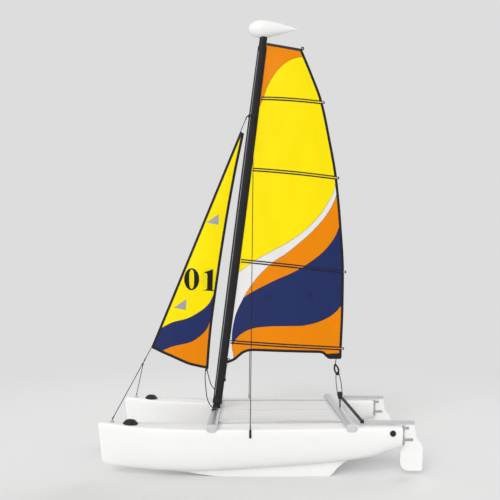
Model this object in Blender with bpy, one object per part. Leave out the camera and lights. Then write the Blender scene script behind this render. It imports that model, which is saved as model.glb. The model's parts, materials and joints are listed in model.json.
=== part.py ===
"""Small beach catamaran with a sloop rig, standing on the skegs of its hulls.

Metres, +X towards the bow, +Y to port, +Z up. The origin is on the ground, below the
middle of the boat. Port and starboard pieces share one function each.
"""
import math

import bmesh
import bpy
from mathutils import Matrix, Vector

# Fits between pieces
SEAT = 0.0003                 # between pieces that touch
TURNING_CLEARANCE = 0.006     # round a piece that sweeps past another

# Hulls
HULL_SPACING = 1.28           # between the hulls' centre planes
HULL_HALF_WIDTH = 0.16
HULL_FULLEST_X = 0.0
STEM_X = 1.579                # foot of the stem
STEM_RAKE = 0.045             # how far its top leans forward
STEM_HALF_WIDTH = 0.010
TRANSOM_X = -1.395
TRANSOM_FULLNESS = 0.78       # width at the transom as a share of the full width
GUNWALE_RADIUS = 0.020
SKEG_HALF_WIDTH = 0.030
SKEG_SOLE_HALF_WIDTH = 0.018
SKEG_FAIRING = 0.030          # depth over which the skeg grows out of the bottom
STEM_LEAN_X = 1.450           # where the sections start to lean forward
STEM_FOOT_Z = 0.150
STEM_TOP_Z = 0.494
BOW_TAPER = (3.0, 0.65)       # powers of the plan curve from the fullest place to the bow
BILGE_FULLNESS = 0.62
BOW_HOLLOW = 0.55             # what the bilge's fullness loses towards the bow
GUNWALE_LIMIT = 0.6           # most that its rounding takes of a half width
SKEG_LIMIT = 0.35             # the same for the skeg's root and for its sole
SOLE_LIMIT = 0.22
BARE_KEEL = (0.7, 0.25)       # keel point beside the middle where there's no skeg
BILGE_STEPS = 10
GUNWALE_STEPS = 3
KEEL_LINE = [(-1.395, 0.295), (-1.253, 0.250), (-1.108, 0.202), (-0.926, 0.168),
             (-0.841, 0.136), (-0.768, 0.082), (-0.690, 0.0), (0.400, 0.0),
             (0.640, 0.026), (0.946, 0.058), (1.242, 0.081), (1.502, 0.110),
             (1.553, 0.128), (1.579, 0.150)]
BODY_LINE = [(-1.395, 0.295), (-1.253, 0.250), (-1.108, 0.202), (-0.926, 0.172),
             (-0.562, 0.133), (0.101, 0.087), (0.400, 0.066), (0.640, 0.055),
             (0.946, 0.060), (1.242, 0.081), (1.502, 0.110), (1.553, 0.128),
             (1.579, 0.150)]
DECK_LINE = [(-1.395, 0.505), (-0.990, 0.508), (-0.830, 0.5055), (0.420, 0.4955),
             (0.681, 0.496), (0.987, 0.503), (1.190, 0.5105), (1.400, 0.527),
             (1.497, 0.535), (1.560, 0.540), (1.579, 0.494)]
HULL_STATIONS = [-1.395, -1.330, -1.253, -1.180, -1.108, -1.050, -0.990, -0.926, -0.885,
                 -0.841, -0.805, -0.768, -0.730, -0.690, -0.630, -0.562, -0.450, -0.330,
                 -0.200, -0.050, 0.101, 0.250, 0.400, 0.420, 0.520, 0.640, 0.740, 0.850,
                 0.946, 1.040, 1.120, 1.190, 1.260, 1.330, 1.400, 1.452, 1.502, 1.533,
                 1.553, 1.568, 1.579]

# Cross beams
BEAM_WIDTH = 0.110
BEAM_HEIGHT = 0.080
BEAM_SQUARENESS = 2.6
BEAM_Z = 0.510
FRONT_BEAM_X = 0.475
REAR_BEAM_X = -0.891
BEAM_SETBACK = 0.004          # of its end behind the hull's outer side
BEAM_CAP_THICKNESS = 0.010
BEAM_CAP_STRAIGHT = 0.55      # share of the cap's thickness before it narrows
BEAM_CAP_END = 0.86           # length of its end face as a share of the beam's
CHANNEL_FIT = 0.0004          # round a beam in its channel
CHANNEL_REACH = 0.100         # past the beam's ends

# Deck between the hulls
TRAMPOLINE_Z = 0.5165
TRAMPOLINE_THICKNESS = 0.004
RAIL_FROM_HULL_MIDDLE = 0.124  # to the rail's inner side
RAIL_WIDTH = 0.018
RAIL_LIP = 0.006              # above and below the trampoline's edge
RAIL_WALL = 0.006

# Mast and what turns with it
MAST_BASE = Vector((0.472, 0.0, 0.509))
MAST_RAKE = math.radians(7.25)
MAST_LENGTH = 4.190
MAST_CHORD_ENDS = 0.098
MAST_CHORD_MIDDLE = 0.112
MAST_THICKNESS_SHARE = 0.58
MAST_BLUNTNESS = 0.22         # how much thicker its section is in front
LUFF_GROOVE_DEPTH = 0.014
LUFF_GROOVE_WIDTH = 0.008
NECK_LENGTH = 0.110           # of the masthead fitting under the float
NECK_SHARE = 0.86             # its chord as a share of the mast's
NECK_STEP = 0.002             # length over which the mast narrows to it
STEP_PROFILE = [(-0.005, 0.043), (0.066, 0.043), (0.074, 0.038), (0.078, 0.030)]
FOOT_PROFILE = [(0.0, -0.008), (0.005, -0.002), (0.010, 0.002), (0.050, 0.002)]
STEP_TOP = STEP_PROFILE[-1][0]  # along the mast, above its base point
FOOT_HEIGHT = FOOT_PROFILE[-1][0]
HOUND_DISTANCE = 3.295        # along the mast to the stays
FLOAT_LENGTH = 0.551
FLOAT_HEIGHT = 0.200
FLOAT_WIDTH = 0.120
FLOAT_NOSE_X = 0.113
FLOAT_FULLEST = 0.28          # share of its length behind the nose
FLOAT_Z = 4.752
FLOAT_NOSE_POWER = 2.2
FLOAT_TAIL_POWER = 1.35
FLOAT_TIP = 0.02              # size of its blunt ends as a share
FLOAT_END_SHARE = 0.003       # of its length left off at each end

# Sails
SAIL_THICKNESS = 0.003
SAIL_CAMBER = 0.045
CAMBER_SPREAD = (1.25, 0.5)   # puts the deepest place in front of the middle
HEAD_FLATTENING = 0.45        # height over which the mainsail flattens to its headboard
SAIL_COLUMNS = [0.0, 0.035, 0.08, 0.12, 0.18, 0.26, 0.36, 0.47, 0.58, 0.69, 0.80, 0.845,
                0.89, 0.945, 1.0]
MAIN_FOOT = [(0.264, 1.083), (0.210, 1.130), (0.160, 1.165), (0.095, 1.184), (-0.010, 1.185),
             (-0.140, 1.181), (-0.280, 1.176), (-0.420, 1.171), (-0.560, 1.167),
             (-0.693, 1.161), (-0.732, 1.138), (-0.777, 1.099), (-0.845, 1.096)]
MAIN_CLEW = (-0.912, 1.094)
MAIN_TACK_Z = 1.045
MAIN_LUFF_HEIGHTS = [1.277, 1.720, 2.178, 2.680, 3.200, 3.590, 3.990, 4.300, 4.588]
MAIN_LEECH = [(-0.916, 1.201), (-0.934, 1.620), (-0.940, 2.054), (-0.912, 2.570),
              (-0.862, 3.107), (-0.790, 3.520), (-0.700, 3.945), (-0.592, 4.240),
              (-0.473, 4.526)]
BATTEN_ROWS = {1: 6, 2: 4, 3: 2, 4: 0}  # places in the two lists above
BATTEN_WIDTH = 0.030
BATTEN_THICKNESS = 0.004
BATTEN_SETBACK = 0.012        # behind the luff
BATTEN_OVERHANG = 0.018
HEADBOARD_HEIGHT = 0.014
HEADBOARD_THICKNESS = 0.008
JIB_FOOT = [(1.163, 1.206), (1.135, 1.193), (1.110, 1.181), (1.073, 1.164), (1.020, 1.141),
            (0.958, 1.115), (0.890, 1.083), (0.822, 1.053), (0.757, 1.028), (0.692, 1.012),
            (0.665, 1.006), (0.639, 0.999), (0.606, 0.991)]
JIB_CLEW = (0.572, 0.984)
JIB_TACK_Z = 1.215
JIB_LUFF_HEIGHTS = [1.500, 1.960, 2.560, 3.160, 3.611]
JIB_LEECH = [(0.542, 1.360), (0.482, 1.831), (0.380, 2.500), (0.268, 3.130),
             (0.164, 3.611)]

# Standing rigging
WIRE_RADIUS = 0.004           # with its plastic cover
FORESTAY_AT_HEAD = Vector((0.1993, 0.0, 3.617))
FORESTAY_AT_TACK = Vector((1.1906, 0.0, 1.213))
BRIDLE_JOINT = Vector((1.279, 0.0, 1.050))
BRIDLE_BALL_RADIUS = 0.010
BRIDLE_X = 1.480
BRIDLE_PLATE_HALF_LENGTH = 0.018
BRIDLE_PLATE_HALF_WIDTH = 0.004
BRIDLE_PLATE_HEIGHT = 0.024
BRIDLE_PLATE_LIFT = 0.0012    # clears the deck's slope
BRIDLE_PLATE_ROUNDING = 0.0025
CHAINPLATE_X = 0.100
CHAINPLATE_WIDTH = 0.023
CHAINPLATE_TOP = 0.498
CHAINPLATE_BOTTOM = 0.417
CHAINPLATE_THICKNESS = 0.006
CHAINPLATE_ROUNDING = 0.002
BAIL_THICKNESS = 0.006
BAIL_HEIGHT = 0.014
BAIL_ARC = math.radians(105.0)

# Rudders and their linkage
RUDDER_AXIS_X = -1.432
ROD_RADIUS = 0.0065
ROD_BOTTOM = 0.310
ROD_TOP = 0.500
ROD_HEAD_RADIUS = 0.0092
ROD_HEAD_HEIGHT = 0.003
BLADE_THICKNESS = 0.014
BLADE_EDGE = 0.0045           # rounding of the blade's edges
STRAP_THICKNESS = 0.0025
BLADE_FRONT = 0.013           # behind the rudder's axis
BLADE_NECK_BOTTOM = 0.308
BLADE_OUTLINE = [(-1.541, 0.515), (-1.545, 0.480), (-1.560, 0.384), (-1.611, 0.320),
                 (-1.627, 0.276), (-1.617, 0.065), (-1.600, 0.052), (-1.458, 0.052),
                 (-1.425, 0.074), (-1.407, 0.097), (-1.396, 0.142), (-1.404, 0.276),
                 (-1.424, 0.295)]
UPPER_STRAP = (0.464, 0.492, -1.487)
LOWER_STRAP = (0.347, 0.376, -1.528)
UPPER_GUDGEON = (0.438, 0.457)
LOWER_GUDGEON = (0.320, 0.339)
TILLER_BOTTOM = 0.515
TILLER_WIDTH = 0.030
TILLER_DEPTH = 0.034
TILLER_RISE = 0.005
TILLER_PIVOT_X = -1.020
TILLER_END_FROM_PIVOT = 0.036
TILLER_ROUNDING = 0.0025
TONGUE_THICKNESS = 0.007
TONGUE_REACH = 0.017
CROSSBAR_RADIUS = 0.0165
SOCKET_SIZE = (0.032, 0.050, 0.0345)
SOCKET_ROUNDING = 0.005

# Fittings
HATCH_X = 1.297
HATCH_RADIUS = 0.074
HATCH_PROFILE = [(1.0, 0.0), (1.0, 0.010), (0.945, 0.014), (0.86, 0.016), (0.80, 0.027),
                 (0.62, 0.038), (0.36, 0.0435), (0.10, 0.045)]
HATCH_DECK = (1.190, 1.400)   # stretch of deck whose slope it follows
DRAIN_X = -1.295
DRAIN_Z = 0.455
DRAIN_RADIUS = 0.030
DRAIN_THICKNESS = 0.007
DRAIN_ROUNDING = 0.003
DRAIN_RIM_SHARE = 0.6         # upright part of its rim
DRAIN_HUB_RADIUS = 0.006
DRAIN_SLOPE_RUN = 0.02
SHEET_BLOCK_RADIUS = 0.030
SHEET_BLOCK_THICKNESS = 0.020
SHEAVE_RADIUS = 0.021
SHEAVE_WIDTH = 0.009
UPPER_BLOCK_X = -0.865
UPPER_BLOCK_Z = 0.932         # middle of its sheave
LOWER_BLOCK_X = -0.905
LOWER_BLOCK_Z = 0.692
BLOCK_EYE_HALF_WIDTH = 0.006
BLOCK_HEAD_SHARE = 0.95       # where the cheeks end, as a share of sheave and cheek radius
BLOCK_NECK_SHARE = 0.62
BLOCK_GROOVE_SHARE = 1.4      # outer radius of the groove's cutter

MAST_AXIS = Vector((-math.sin(MAST_RAKE), 0.0, math.cos(MAST_RAKE)))
MAST_AFT = Vector((-math.cos(MAST_RAKE), 0.0, -math.sin(MAST_RAKE)))
SIDES = ("port", "starboard")


def sign_of(side):
    """Direction of a side along Y."""
    return 1 if side == "port" else -1


def clear_scene():
    for old in list(bpy.data.objects):
        bpy.data.objects.remove(old, do_unlink=True)


def make_material(name, colour, roughness, metallic=0.0):
    made = bpy.data.materials.new(name)
    made.use_nodes = True
    shader = made.node_tree.nodes["Principled BSDF"]
    shader.inputs["Base Color"].default_value = (*colour, 1.0)
    shader.inputs["Roughness"].default_value = roughness
    shader.inputs["Metallic"].default_value = metallic
    return made


def make_empty(name, location):
    empty = bpy.data.objects.new(name, None)
    empty.location = location
    bpy.context.scene.collection.objects.link(empty)
    return empty


def add_object(name, mesh_data, finish, parent=None, matrix=None):
    """Turn a bmesh into a named object with outward faces, smooth where it is round."""
    bmesh.ops.recalc_face_normals(mesh_data, faces=mesh_data.faces)
    mesh = bpy.data.meshes.new(name)
    mesh_data.to_mesh(mesh)
    mesh_data.free()
    mesh.shade_smooth()
    mesh.set_sharp_from_angle(angle=math.radians(35.0))
    made = bpy.data.objects.new(name, mesh)
    bpy.context.scene.collection.objects.link(made)
    if finish is not None:
        made.data.materials.append(finish)
    if matrix is not None:
        made.matrix_world = matrix
    if parent is not None:
        made.parent = parent
        made.matrix_parent_inverse = Matrix.Translation(parent.location).inverted()
    return made


def make_cutter(name, mesh_data):
    cutter = add_object(name, mesh_data, None)
    cutter.hide_render = True
    cutter.display_type = "WIRE"
    return cutter


def cut_with(target, cutter, operation="DIFFERENCE"):
    modifier = target.modifiers.new(cutter.name, "BOOLEAN")
    modifier.operation = operation
    modifier.object = cutter
    modifier.solver = "EXACT"


def curve_at(points, x):
    """Height at x of a smooth line through (x, z) points that never overshoots them."""
    def slope(i):
        return (points[i + 1][1] - points[i][1]) / (points[i + 1][0] - points[i][0])

    def tangent(i):
        if i == 0 or i == len(points) - 1:
            return slope(min(i, len(points) - 2))
        before = slope(i - 1)
        after = slope(i)
        if before * after <= 0.0:
            return 0.0
        return 2.0 * before * after / (before + after)

    last = len(points) - 2
    i = next((k for k in range(last + 1) if x <= points[k + 1][0]), last)
    (x0, z0), (x1, z1) = points[i], points[i + 1]
    run = x1 - x0
    t = (x - x0) / run
    return ((2 * t ** 3 - 3 * t ** 2 + 1) * z0 + (t ** 3 - 2 * t ** 2 + t) * run * tangent(i)
            + (3 * t ** 2 - 2 * t ** 3) * z1 + (t ** 3 - t ** 2) * run * tangent(i + 1))


def line_at(points, x):
    """Height of a line of (x, z) points at x."""
    for (x0, z0), (x1, z1) in zip(points, points[1:]):
        if x <= x1:
            share = (x - x0) / (x1 - x0)
            return z0 + share * (z1 - z0)
    return points[-1][1]


def loft(rings, capped=True):
    """Closed skin through rings that have the same number of points."""
    made = bmesh.new()
    rows = [[made.verts.new(point) for point in ring] for ring in rings]
    count = len(rows[0])
    for low, high in zip(rows, rows[1:]):
        for i in range(count):
            j = (i + 1) % count
            made.faces.new((low[i], low[j], high[j], high[i]))
    if capped:
        made.faces.new(rows[0])
        made.faces.new(rows[-1])
    return made


def box_mesh(low, high):
    made = bmesh.new()
    bmesh.ops.create_cube(made, size=1.0)
    middle = [(a + b) / 2.0 for a, b in zip(low, high)]
    size = [b - a for a, b in zip(low, high)]
    bmesh.ops.scale(made, vec=size, verts=made.verts)
    bmesh.ops.translate(made, vec=middle, verts=made.verts)
    return made


def bevel_all(mesh_data, width, segments=2, sharper_than=math.radians(30.0)):
    """Round every edge where two faces meet at more than the given angle."""
    edges = [edge for edge in mesh_data.edges if edge.calc_face_angle(0.0) > sharper_than]
    bmesh.ops.bevel(mesh_data, geom=edges, offset=width, segments=segments,
                    affect="EDGES", profile=0.5)
    return mesh_data


def side_prism(outline, half_width):
    """Solid between y = -half_width and +half_width with an outline of (x, z) points."""
    return loft([[(x, -half_width, z) for x, z in outline],
                 [(x, half_width, z) for x, z in outline]])


def plan_prism(outline, low, high):
    """Solid between two heights with an outline of (x, y) points."""
    return loft([[(x, y, low) for x, y in outline], [(x, y, high) for x, y in outline]])


def rod_between(start, end, radius, sides=8):
    axis = (end - start).normalized()
    across = axis.cross(Vector((0.0, 1.0, 0.0)))
    if across.length < 0.1:
        across = axis.cross(Vector((1.0, 0.0, 0.0)))
    across.normalize()
    up = axis.cross(across)
    turns = [2.0 * math.pi * i / sides for i in range(sides)]
    ring = [across * (radius * math.cos(a)) + up * (radius * math.sin(a)) for a in turns]
    return loft([[start + point for point in ring], [end + point for point in ring]])


def turned(profile, sides=32):
    """Solid of revolution about Z from (radius, z) points that start and end off the axis."""
    turns = [2.0 * math.pi * i / sides for i in range(sides)]
    return loft([[(r * math.cos(a), r * math.sin(a), z) for a in turns] for r, z in profile])


def turned_ring(profile, sides=32):
    """Ring about Z with a closed section of (radius, z) points."""
    made = bmesh.new()
    rows = []
    for i in range(sides):
        angle = 2.0 * math.pi * i / sides
        rows.append([made.verts.new((r * math.cos(angle), r * math.sin(angle), z))
                     for r, z in profile])
    count = len(profile)
    for i in range(sides):
        here = rows[i]
        there = rows[(i + 1) % sides]
        for k in range(count):
            n = (k + 1) % count
            made.faces.new((here[k], here[n], there[n], there[k]))
    return made


def hairpin(axis_x, inner, outer, leg_x, steps=8):
    """Outline of a strap bent round a rod, its two legs reaching to leg_x."""
    towards = 1.0 if leg_x > axis_x else -1.0
    turns = [math.pi / 2.0 - math.pi * i / steps for i in range(steps + 1)]
    outside = [(axis_x - towards * outer * math.cos(a), outer * math.sin(a)) for a in turns]
    inside = [(axis_x - towards * inner * math.cos(a), inner * math.sin(a))
              for a in reversed(turns)]
    return [(leg_x, outer)] + outside + [(leg_x, -outer), (leg_x, -inner)] + inside \
        + [(leg_x, inner)]


def hull_half_width(x):
    """Half the hull's width, without the rounding of the stem."""
    if x >= HULL_FULLEST_X:
        share = (x - HULL_FULLEST_X) / (STEM_X + STEM_RAKE - HULL_FULLEST_X)
        return HULL_HALF_WIDTH * (1.0 - share ** BOW_TAPER[0]) ** BOW_TAPER[1]
    share = (HULL_FULLEST_X - x) / (HULL_FULLEST_X - TRANSOM_X)
    return HULL_HALF_WIDTH * (1.0 - (1.0 - TRANSOM_FULLNESS) * share ** 2.0)


def hull_ring(x):
    """Section of a hull: skeg, round bilge, upright side, rounded gunwale, flat deck."""
    deck = line_at(DECK_LINE, x)
    keel = curve_at(KEEL_LINE, x)
    body = curve_at(BODY_LINE, x)
    width = hull_half_width(x)
    if x >= STEM_X:
        width = STEM_HALF_WIDTH
    radius = min(GUNWALE_RADIUS, GUNWALE_LIMIT * width)
    gunwale = deck - radius
    bow_share = max(0.0, x / STEM_X)
    fullness = BILGE_FULLNESS + BOW_HOLLOW * bow_share ** 2.0
    depth_of_skeg = body - keel
    skeg_share = min(1.0, depth_of_skeg / SKEG_FAIRING)
    root = min(SKEG_HALF_WIDTH, SKEG_LIMIT * width)
    sole = min(SKEG_SOLE_HALF_WIDTH, SOLE_LIMIT * width)

    def bilge(angle):
        y = width * math.sin(angle) ** fullness
        z = body + (gunwale - body) * (1.0 - math.cos(angle))
        return y, z

    first = math.asin((root / width) ** (1.0 / fullness))
    half = []
    bare_sole = (sole * BARE_KEEL[0], body + BARE_KEEL[1] * (bilge(first)[1] - body))
    half.append((sole * skeg_share + bare_sole[0] * (1.0 - skeg_share),
                 keel * skeg_share + bare_sole[1] * (1.0 - skeg_share)))
    upper = bilge(first)
    middle = ((sole + root) / 2.0, (half[0][1] + upper[1]) / 2.0)
    half.append(middle)
    for i in range(BILGE_STEPS + 1):
        half.append(bilge(first + (math.pi / 2.0 - first) * i / BILGE_STEPS))
    for i in range(1, GUNWALE_STEPS + 1):
        angle = math.pi / 2.0 * i / GUNWALE_STEPS
        half.append((width - radius + radius * math.cos(angle),
                     gunwale + radius * math.sin(angle)))
    ring = [(0.0, keel)] + half + [(0.0, deck)] + [(-y, z) for y, z in reversed(half)]
    lean = STEM_RAKE * max(0.0, x - STEM_LEAN_X) / (STEM_X - STEM_LEAN_X)
    height = STEM_TOP_Z - STEM_FOOT_Z
    return [(x + lean * max(0.0, z - STEM_FOOT_Z) / height, y, z) for y, z in ring]


def superellipse(half_a, half_b, power, count):
    points = []
    for i in range(count):
        angle = 2.0 * math.pi * i / count
        cosine = math.cos(angle)
        sine = math.sin(angle)
        points.append((math.copysign(abs(cosine) ** (2.0 / power), cosine) * half_a,
                       math.copysign(abs(sine) ** (2.0 / power), sine) * half_b))
    return points


def beam_ring(x, y, growth=0.0, scale=1.0):
    points = superellipse(BEAM_WIDTH / 2.0 + growth, BEAM_HEIGHT / 2.0 + growth,
                          BEAM_SQUARENESS, 28)
    return [(x + a * scale, y, BEAM_Z + b * scale) for a, b in points]


def beam_end(x):
    return HULL_SPACING / 2.0 + hull_half_width(x) - BEAM_SETBACK


def build_hulls(white, black):
    beams = {"front": FRONT_BEAM_X, "rear": REAR_BEAM_X}
    channels = {}
    for name, x in beams.items():
        reach = beam_end(x) + CHANNEL_REACH
        rings = [beam_ring(x, -reach, CHANNEL_FIT), beam_ring(x, reach, CHANNEL_FIT)]
        channels[name] = make_cutter("channel_" + name, loft(rings))
    for side in SIDES:
        sign = sign_of(side)
        rings = [hull_ring(x) for x in HULL_STATIONS]
        hull = add_object("hull_" + side, loft(rings), white)
        hull.location.y = sign * HULL_SPACING / 2.0
        for channel in channels.values():
            cut_with(hull, channel)

        low, high = HATCH_DECK
        slope = math.atan2(line_at(DECK_LINE, high) - line_at(DECK_LINE, low), high - low)
        dome = [(HATCH_RADIUS * share, z) for share, z in HATCH_PROFILE]
        place = Matrix.Translation((HATCH_X, sign * HULL_SPACING / 2.0,
                                    line_at(DECK_LINE, HATCH_X)))
        lift = Matrix.Translation((0.0, 0.0, SEAT))
        tilt = Matrix.Rotation(-slope, 4, "Y")
        add_object("hatch_cap_" + side, turned(dome), black, matrix=place @ tilt @ lift)

        fore = hull_half_width(DRAIN_X + DRAIN_SLOPE_RUN)
        aft = hull_half_width(DRAIN_X - DRAIN_SLOPE_RUN)
        side_slope = (fore - aft) / (2.0 * DRAIN_SLOPE_RUN)
        face_y = sign * (HULL_SPACING / 2.0 + hull_half_width(DRAIN_X) + SEAT)
        plug = [(DRAIN_RADIUS, 0.0), (DRAIN_RADIUS, DRAIN_THICKNESS * DRAIN_RIM_SHARE),
                (DRAIN_RADIUS - DRAIN_ROUNDING, DRAIN_THICKNESS),
                (DRAIN_HUB_RADIUS, DRAIN_THICKNESS)]
        turn = Matrix.Rotation(-sign * math.pi / 2.0, 4, "X")
        yaw = Matrix.Rotation(sign * math.atan(side_slope), 4, "Z")
        place = Matrix.Translation((DRAIN_X, face_y, DRAIN_Z))
        add_object("drain_plug_" + side, turned(plug, 24), black, matrix=place @ yaw @ turn)
    return channels


def build_beams(aluminium, grey):
    for name, x in (("front", FRONT_BEAM_X), ("rear", REAR_BEAM_X)):
        end = beam_end(x)
        add_object(name + "_beam", loft([beam_ring(x, -end), beam_ring(x, end)]), aluminium)
        for side in SIDES:
            sign = sign_of(side)
            near = sign * (end + SEAT)
            far = sign * (end + SEAT + BEAM_CAP_THICKNESS)
            edge = sign * (end + SEAT + BEAM_CAP_THICKNESS * BEAM_CAP_STRAIGHT)
            rings = [beam_ring(x, near), beam_ring(x, edge),
                     beam_ring(x, far, scale=BEAM_CAP_END)]
            add_object(name + "_beam_cap_" + side, loft(rings), grey)


def build_trampoline(cloth, aluminium):
    front = FRONT_BEAM_X - BEAM_WIDTH / 2.0 - SEAT
    back = REAR_BEAM_X + BEAM_WIDTH / 2.0 + SEAT
    rail_y = HULL_SPACING / 2.0 - RAIL_FROM_HULL_MIDDLE
    edge = rail_y + RAIL_WIDTH - RAIL_WALL - SEAT
    sheet_top = TRAMPOLINE_Z + TRAMPOLINE_THICKNESS
    sheet = box_mesh((back, -edge, TRAMPOLINE_Z), (front, edge, sheet_top))
    add_object("trampoline", sheet, cloth)
    for side in SIDES:
        sign = sign_of(side)
        inner = sign * rail_y
        groove = sign * (rail_y + RAIL_WIDTH - RAIL_WALL)
        outer = sign * (rail_y + RAIL_WIDTH)
        rings = []
        for x in (back + SEAT, front - SEAT):
            low = line_at(DECK_LINE, x) + SEAT
            high = sheet_top + SEAT + RAIL_LIP
            rings.append([(x, inner, low), (x, outer, low), (x, outer, high), (x, inner, high),
                          (x, inner, sheet_top + SEAT), (x, groove, sheet_top + SEAT),
                          (x, groove, TRAMPOLINE_Z - SEAT), (x, inner, TRAMPOLINE_Z - SEAT)])
        add_object("trampoline_rail_" + side, loft(rings), aluminium)


def mast_point(along, aft=0.0, side=0.0):
    return MAST_BASE + MAST_AXIS * along + MAST_AFT * aft + Vector((0.0, side, 0.0))


def mast_chord(along):
    share = min(1.0, max(0.0, along / MAST_LENGTH))
    return MAST_CHORD_ENDS + (MAST_CHORD_MIDDLE - MAST_CHORD_ENDS) * math.sin(math.pi * share)


def mast_ring(along, growth=0.0, share=1.0):
    """Teardrop section across the mast, blunt in front, with the sail's groove behind."""
    half = mast_chord(along) * share / 2.0 + growth
    thick = mast_chord(along) * share * MAST_THICKNESS_SHARE / 2.0 + growth
    count = 28
    section = []
    for i in range(1, count):
        angle = 2.0 * math.pi * i / count
        section.append((half * math.cos(angle),
                        thick * math.sin(angle) * (1.0 - MAST_BLUNTNESS * math.cos(angle))))
    lip = LUFF_GROOVE_WIDTH / 2.0 - growth
    floor = half - LUFF_GROOVE_DEPTH
    section += [(half, -lip), (floor, -lip), (floor, lip), (half, lip)]
    return [mast_point(along, aft, side) for aft, side in section]


def build_mast(rig, black, white, channels):
    base_rings = []
    for along, width in STEP_PROFILE:
        ring = []
        for i in range(24):
            angle = 2.0 * math.pi * i / 24
            ring.append(mast_point(along, width * math.cos(angle), width * math.sin(angle)))
        base_rings.append(ring)
    step = add_object("mast_step", loft(base_rings), black)
    cut_with(step, channels["front"])

    foot_low = STEP_TOP + SEAT
    foot_high = foot_low + FOOT_HEIGHT
    foot_rings = [mast_ring(foot_low + height, growth) for height, growth in FOOT_PROFILE]
    add_object("mast_foot", loft(foot_rings), black, rig)

    mast_low = foot_high + SEAT
    mast_high = MAST_LENGTH - NECK_LENGTH
    steps = 8
    mast_rings = []
    for i in range(steps + 1):
        along = mast_low + (mast_high - mast_low) * i / steps
        mast_rings.append(mast_ring(along))
    mast_rings.append(mast_ring(mast_high + NECK_STEP, share=NECK_SHARE))
    mast_rings.append(mast_ring(MAST_LENGTH, share=NECK_SHARE))
    add_object("mast", loft(mast_rings), black, rig)

    socket_rings = [mast_ring(mast_high, SEAT, NECK_SHARE),
                    mast_ring(MAST_LENGTH + SEAT, SEAT, NECK_SHARE)]
    socket = make_cutter("float_socket", loft(socket_rings))
    float_rings = []
    steps = 20
    for i in range(steps + 1):
        share = FLOAT_END_SHARE + (1.0 - 2.0 * FLOAT_END_SHARE) * (i / steps) ** 1.5
        x = FLOAT_NOSE_X - FLOAT_LENGTH * share
        if share < FLOAT_FULLEST:
            before = (FLOAT_FULLEST - share) / FLOAT_FULLEST
            swell = math.sqrt(1.0 - before ** FLOAT_NOSE_POWER)
        else:
            behind = (share - FLOAT_FULLEST) / (1.0 - FLOAT_FULLEST)
            swell = 1.0 - behind ** FLOAT_TAIL_POWER
        swell = max(swell, FLOAT_TIP)
        ring = []
        for k in range(24):
            angle = 2.0 * math.pi * k / 24
            ring.append((x, FLOAT_WIDTH / 2.0 * swell * math.cos(angle),
                         FLOAT_Z + FLOAT_HEIGHT / 2.0 * swell * math.sin(angle)))
        float_rings.append(ring)
    masthead = add_object("masthead_float", loft(float_rings), white, rig)
    cut_with(masthead, socket)


def sail_row(ends, fullness=1.0):
    """Row of points from luff to leech, with the belly of the sail towards port.

    The row is straight between two (x, z) ends, or goes through one (x, z) point a column.
    """
    if len(ends) == 2:
        luff = Vector(ends[0])
        ends = [luff.lerp(Vector(ends[1]), t) for t in SAIL_COLUMNS]
    chord = math.dist(ends[0], ends[-1])
    row = []
    for (x, z), t in zip(ends, SAIL_COLUMNS):
        share = 4.0 * t * (1.0 - t) * (CAMBER_SPREAD[0] - CAMBER_SPREAD[1] * t)
        row.append((x, SAIL_CAMBER * chord * share * fullness, z))
    return row


def sail_mesh(rows):
    """Closed solid of a sail, one skin on each side of its cambered middle surface."""
    made = bmesh.new()
    skins = []
    for offset in (-SAIL_THICKNESS / 2.0, SAIL_THICKNESS / 2.0):
        skins.append([[made.verts.new((x, y + offset, z)) for x, y, z in row] for row in rows])
    last_row = len(rows) - 1
    last_column = len(rows[0]) - 1
    for skin in skins:
        for r in range(last_row):
            for c in range(last_column):
                made.faces.new((skin[r][c], skin[r][c + 1], skin[r + 1][c + 1], skin[r + 1][c]))
    rim = [(0, c) for c in range(last_column)]
    rim += [(r, last_column) for r in range(last_row)]
    rim += [(last_row, c) for c in range(last_column, 0, -1)]
    rim += [(r, 0) for r in range(last_row, 0, -1)]
    for k, (r0, c0) in enumerate(rim):
        r1, c1 = rim[(k + 1) % len(rim)]
        made.faces.new((skins[0][r0][c0], skins[0][r1][c1], skins[1][r1][c1], skins[1][r0][c0]))
    return made


def luff_point(height):
    """Point on the mainsail's luff, just behind the mast, at a height."""
    along = (height - MAST_BASE.z) / MAST_AXIS.z
    for _ in range(3):
        point = mast_point(along, mast_chord(along) / 2.0 + SEAT)
        along += (height - point.z) / MAST_AXIS.z
    return point.x, point.z


def mainsail_fullness(height):
    below_head = min(1.0, (MAIN_LUFF_HEIGHTS[-1] - height) / HEAD_FLATTENING)
    return below_head * (2.0 - below_head)


def mainsail_rows():
    """Rows of the mainsail; each batten gets one row along each of its edges."""
    rows = [sail_row([luff_point(MAIN_TACK_Z)] + MAIN_FOOT + [MAIN_CLEW])]
    leech = [(z, x) for x, z in MAIN_LEECH]
    batten_edges = {}
    for place, (height, (_, leech_z)) in enumerate(zip(MAIN_LUFF_HEIGHTS, MAIN_LEECH)):
        shifts = (0.0,)
        if place in BATTEN_ROWS.values():
            shifts = (-BATTEN_WIDTH / 2.0, BATTEN_WIDTH / 2.0)
            batten_edges[place] = len(rows)
        for shift in shifts:
            end = (line_at(leech, leech_z + shift), leech_z + shift)
            luff = luff_point(height + shift)
            rows.append(sail_row([luff, end], mainsail_fullness(height + shift)))
    return rows, batten_edges


def with_luff_tape(row):
    """The row with one more point in front, at the bottom of the mast's groove."""
    x, y, z = row[0]
    inwards = MAST_AFT * (LUFF_GROOVE_DEPTH - SEAT)
    return [(x - inwards.x, y, z - inwards.z)] + row


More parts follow.
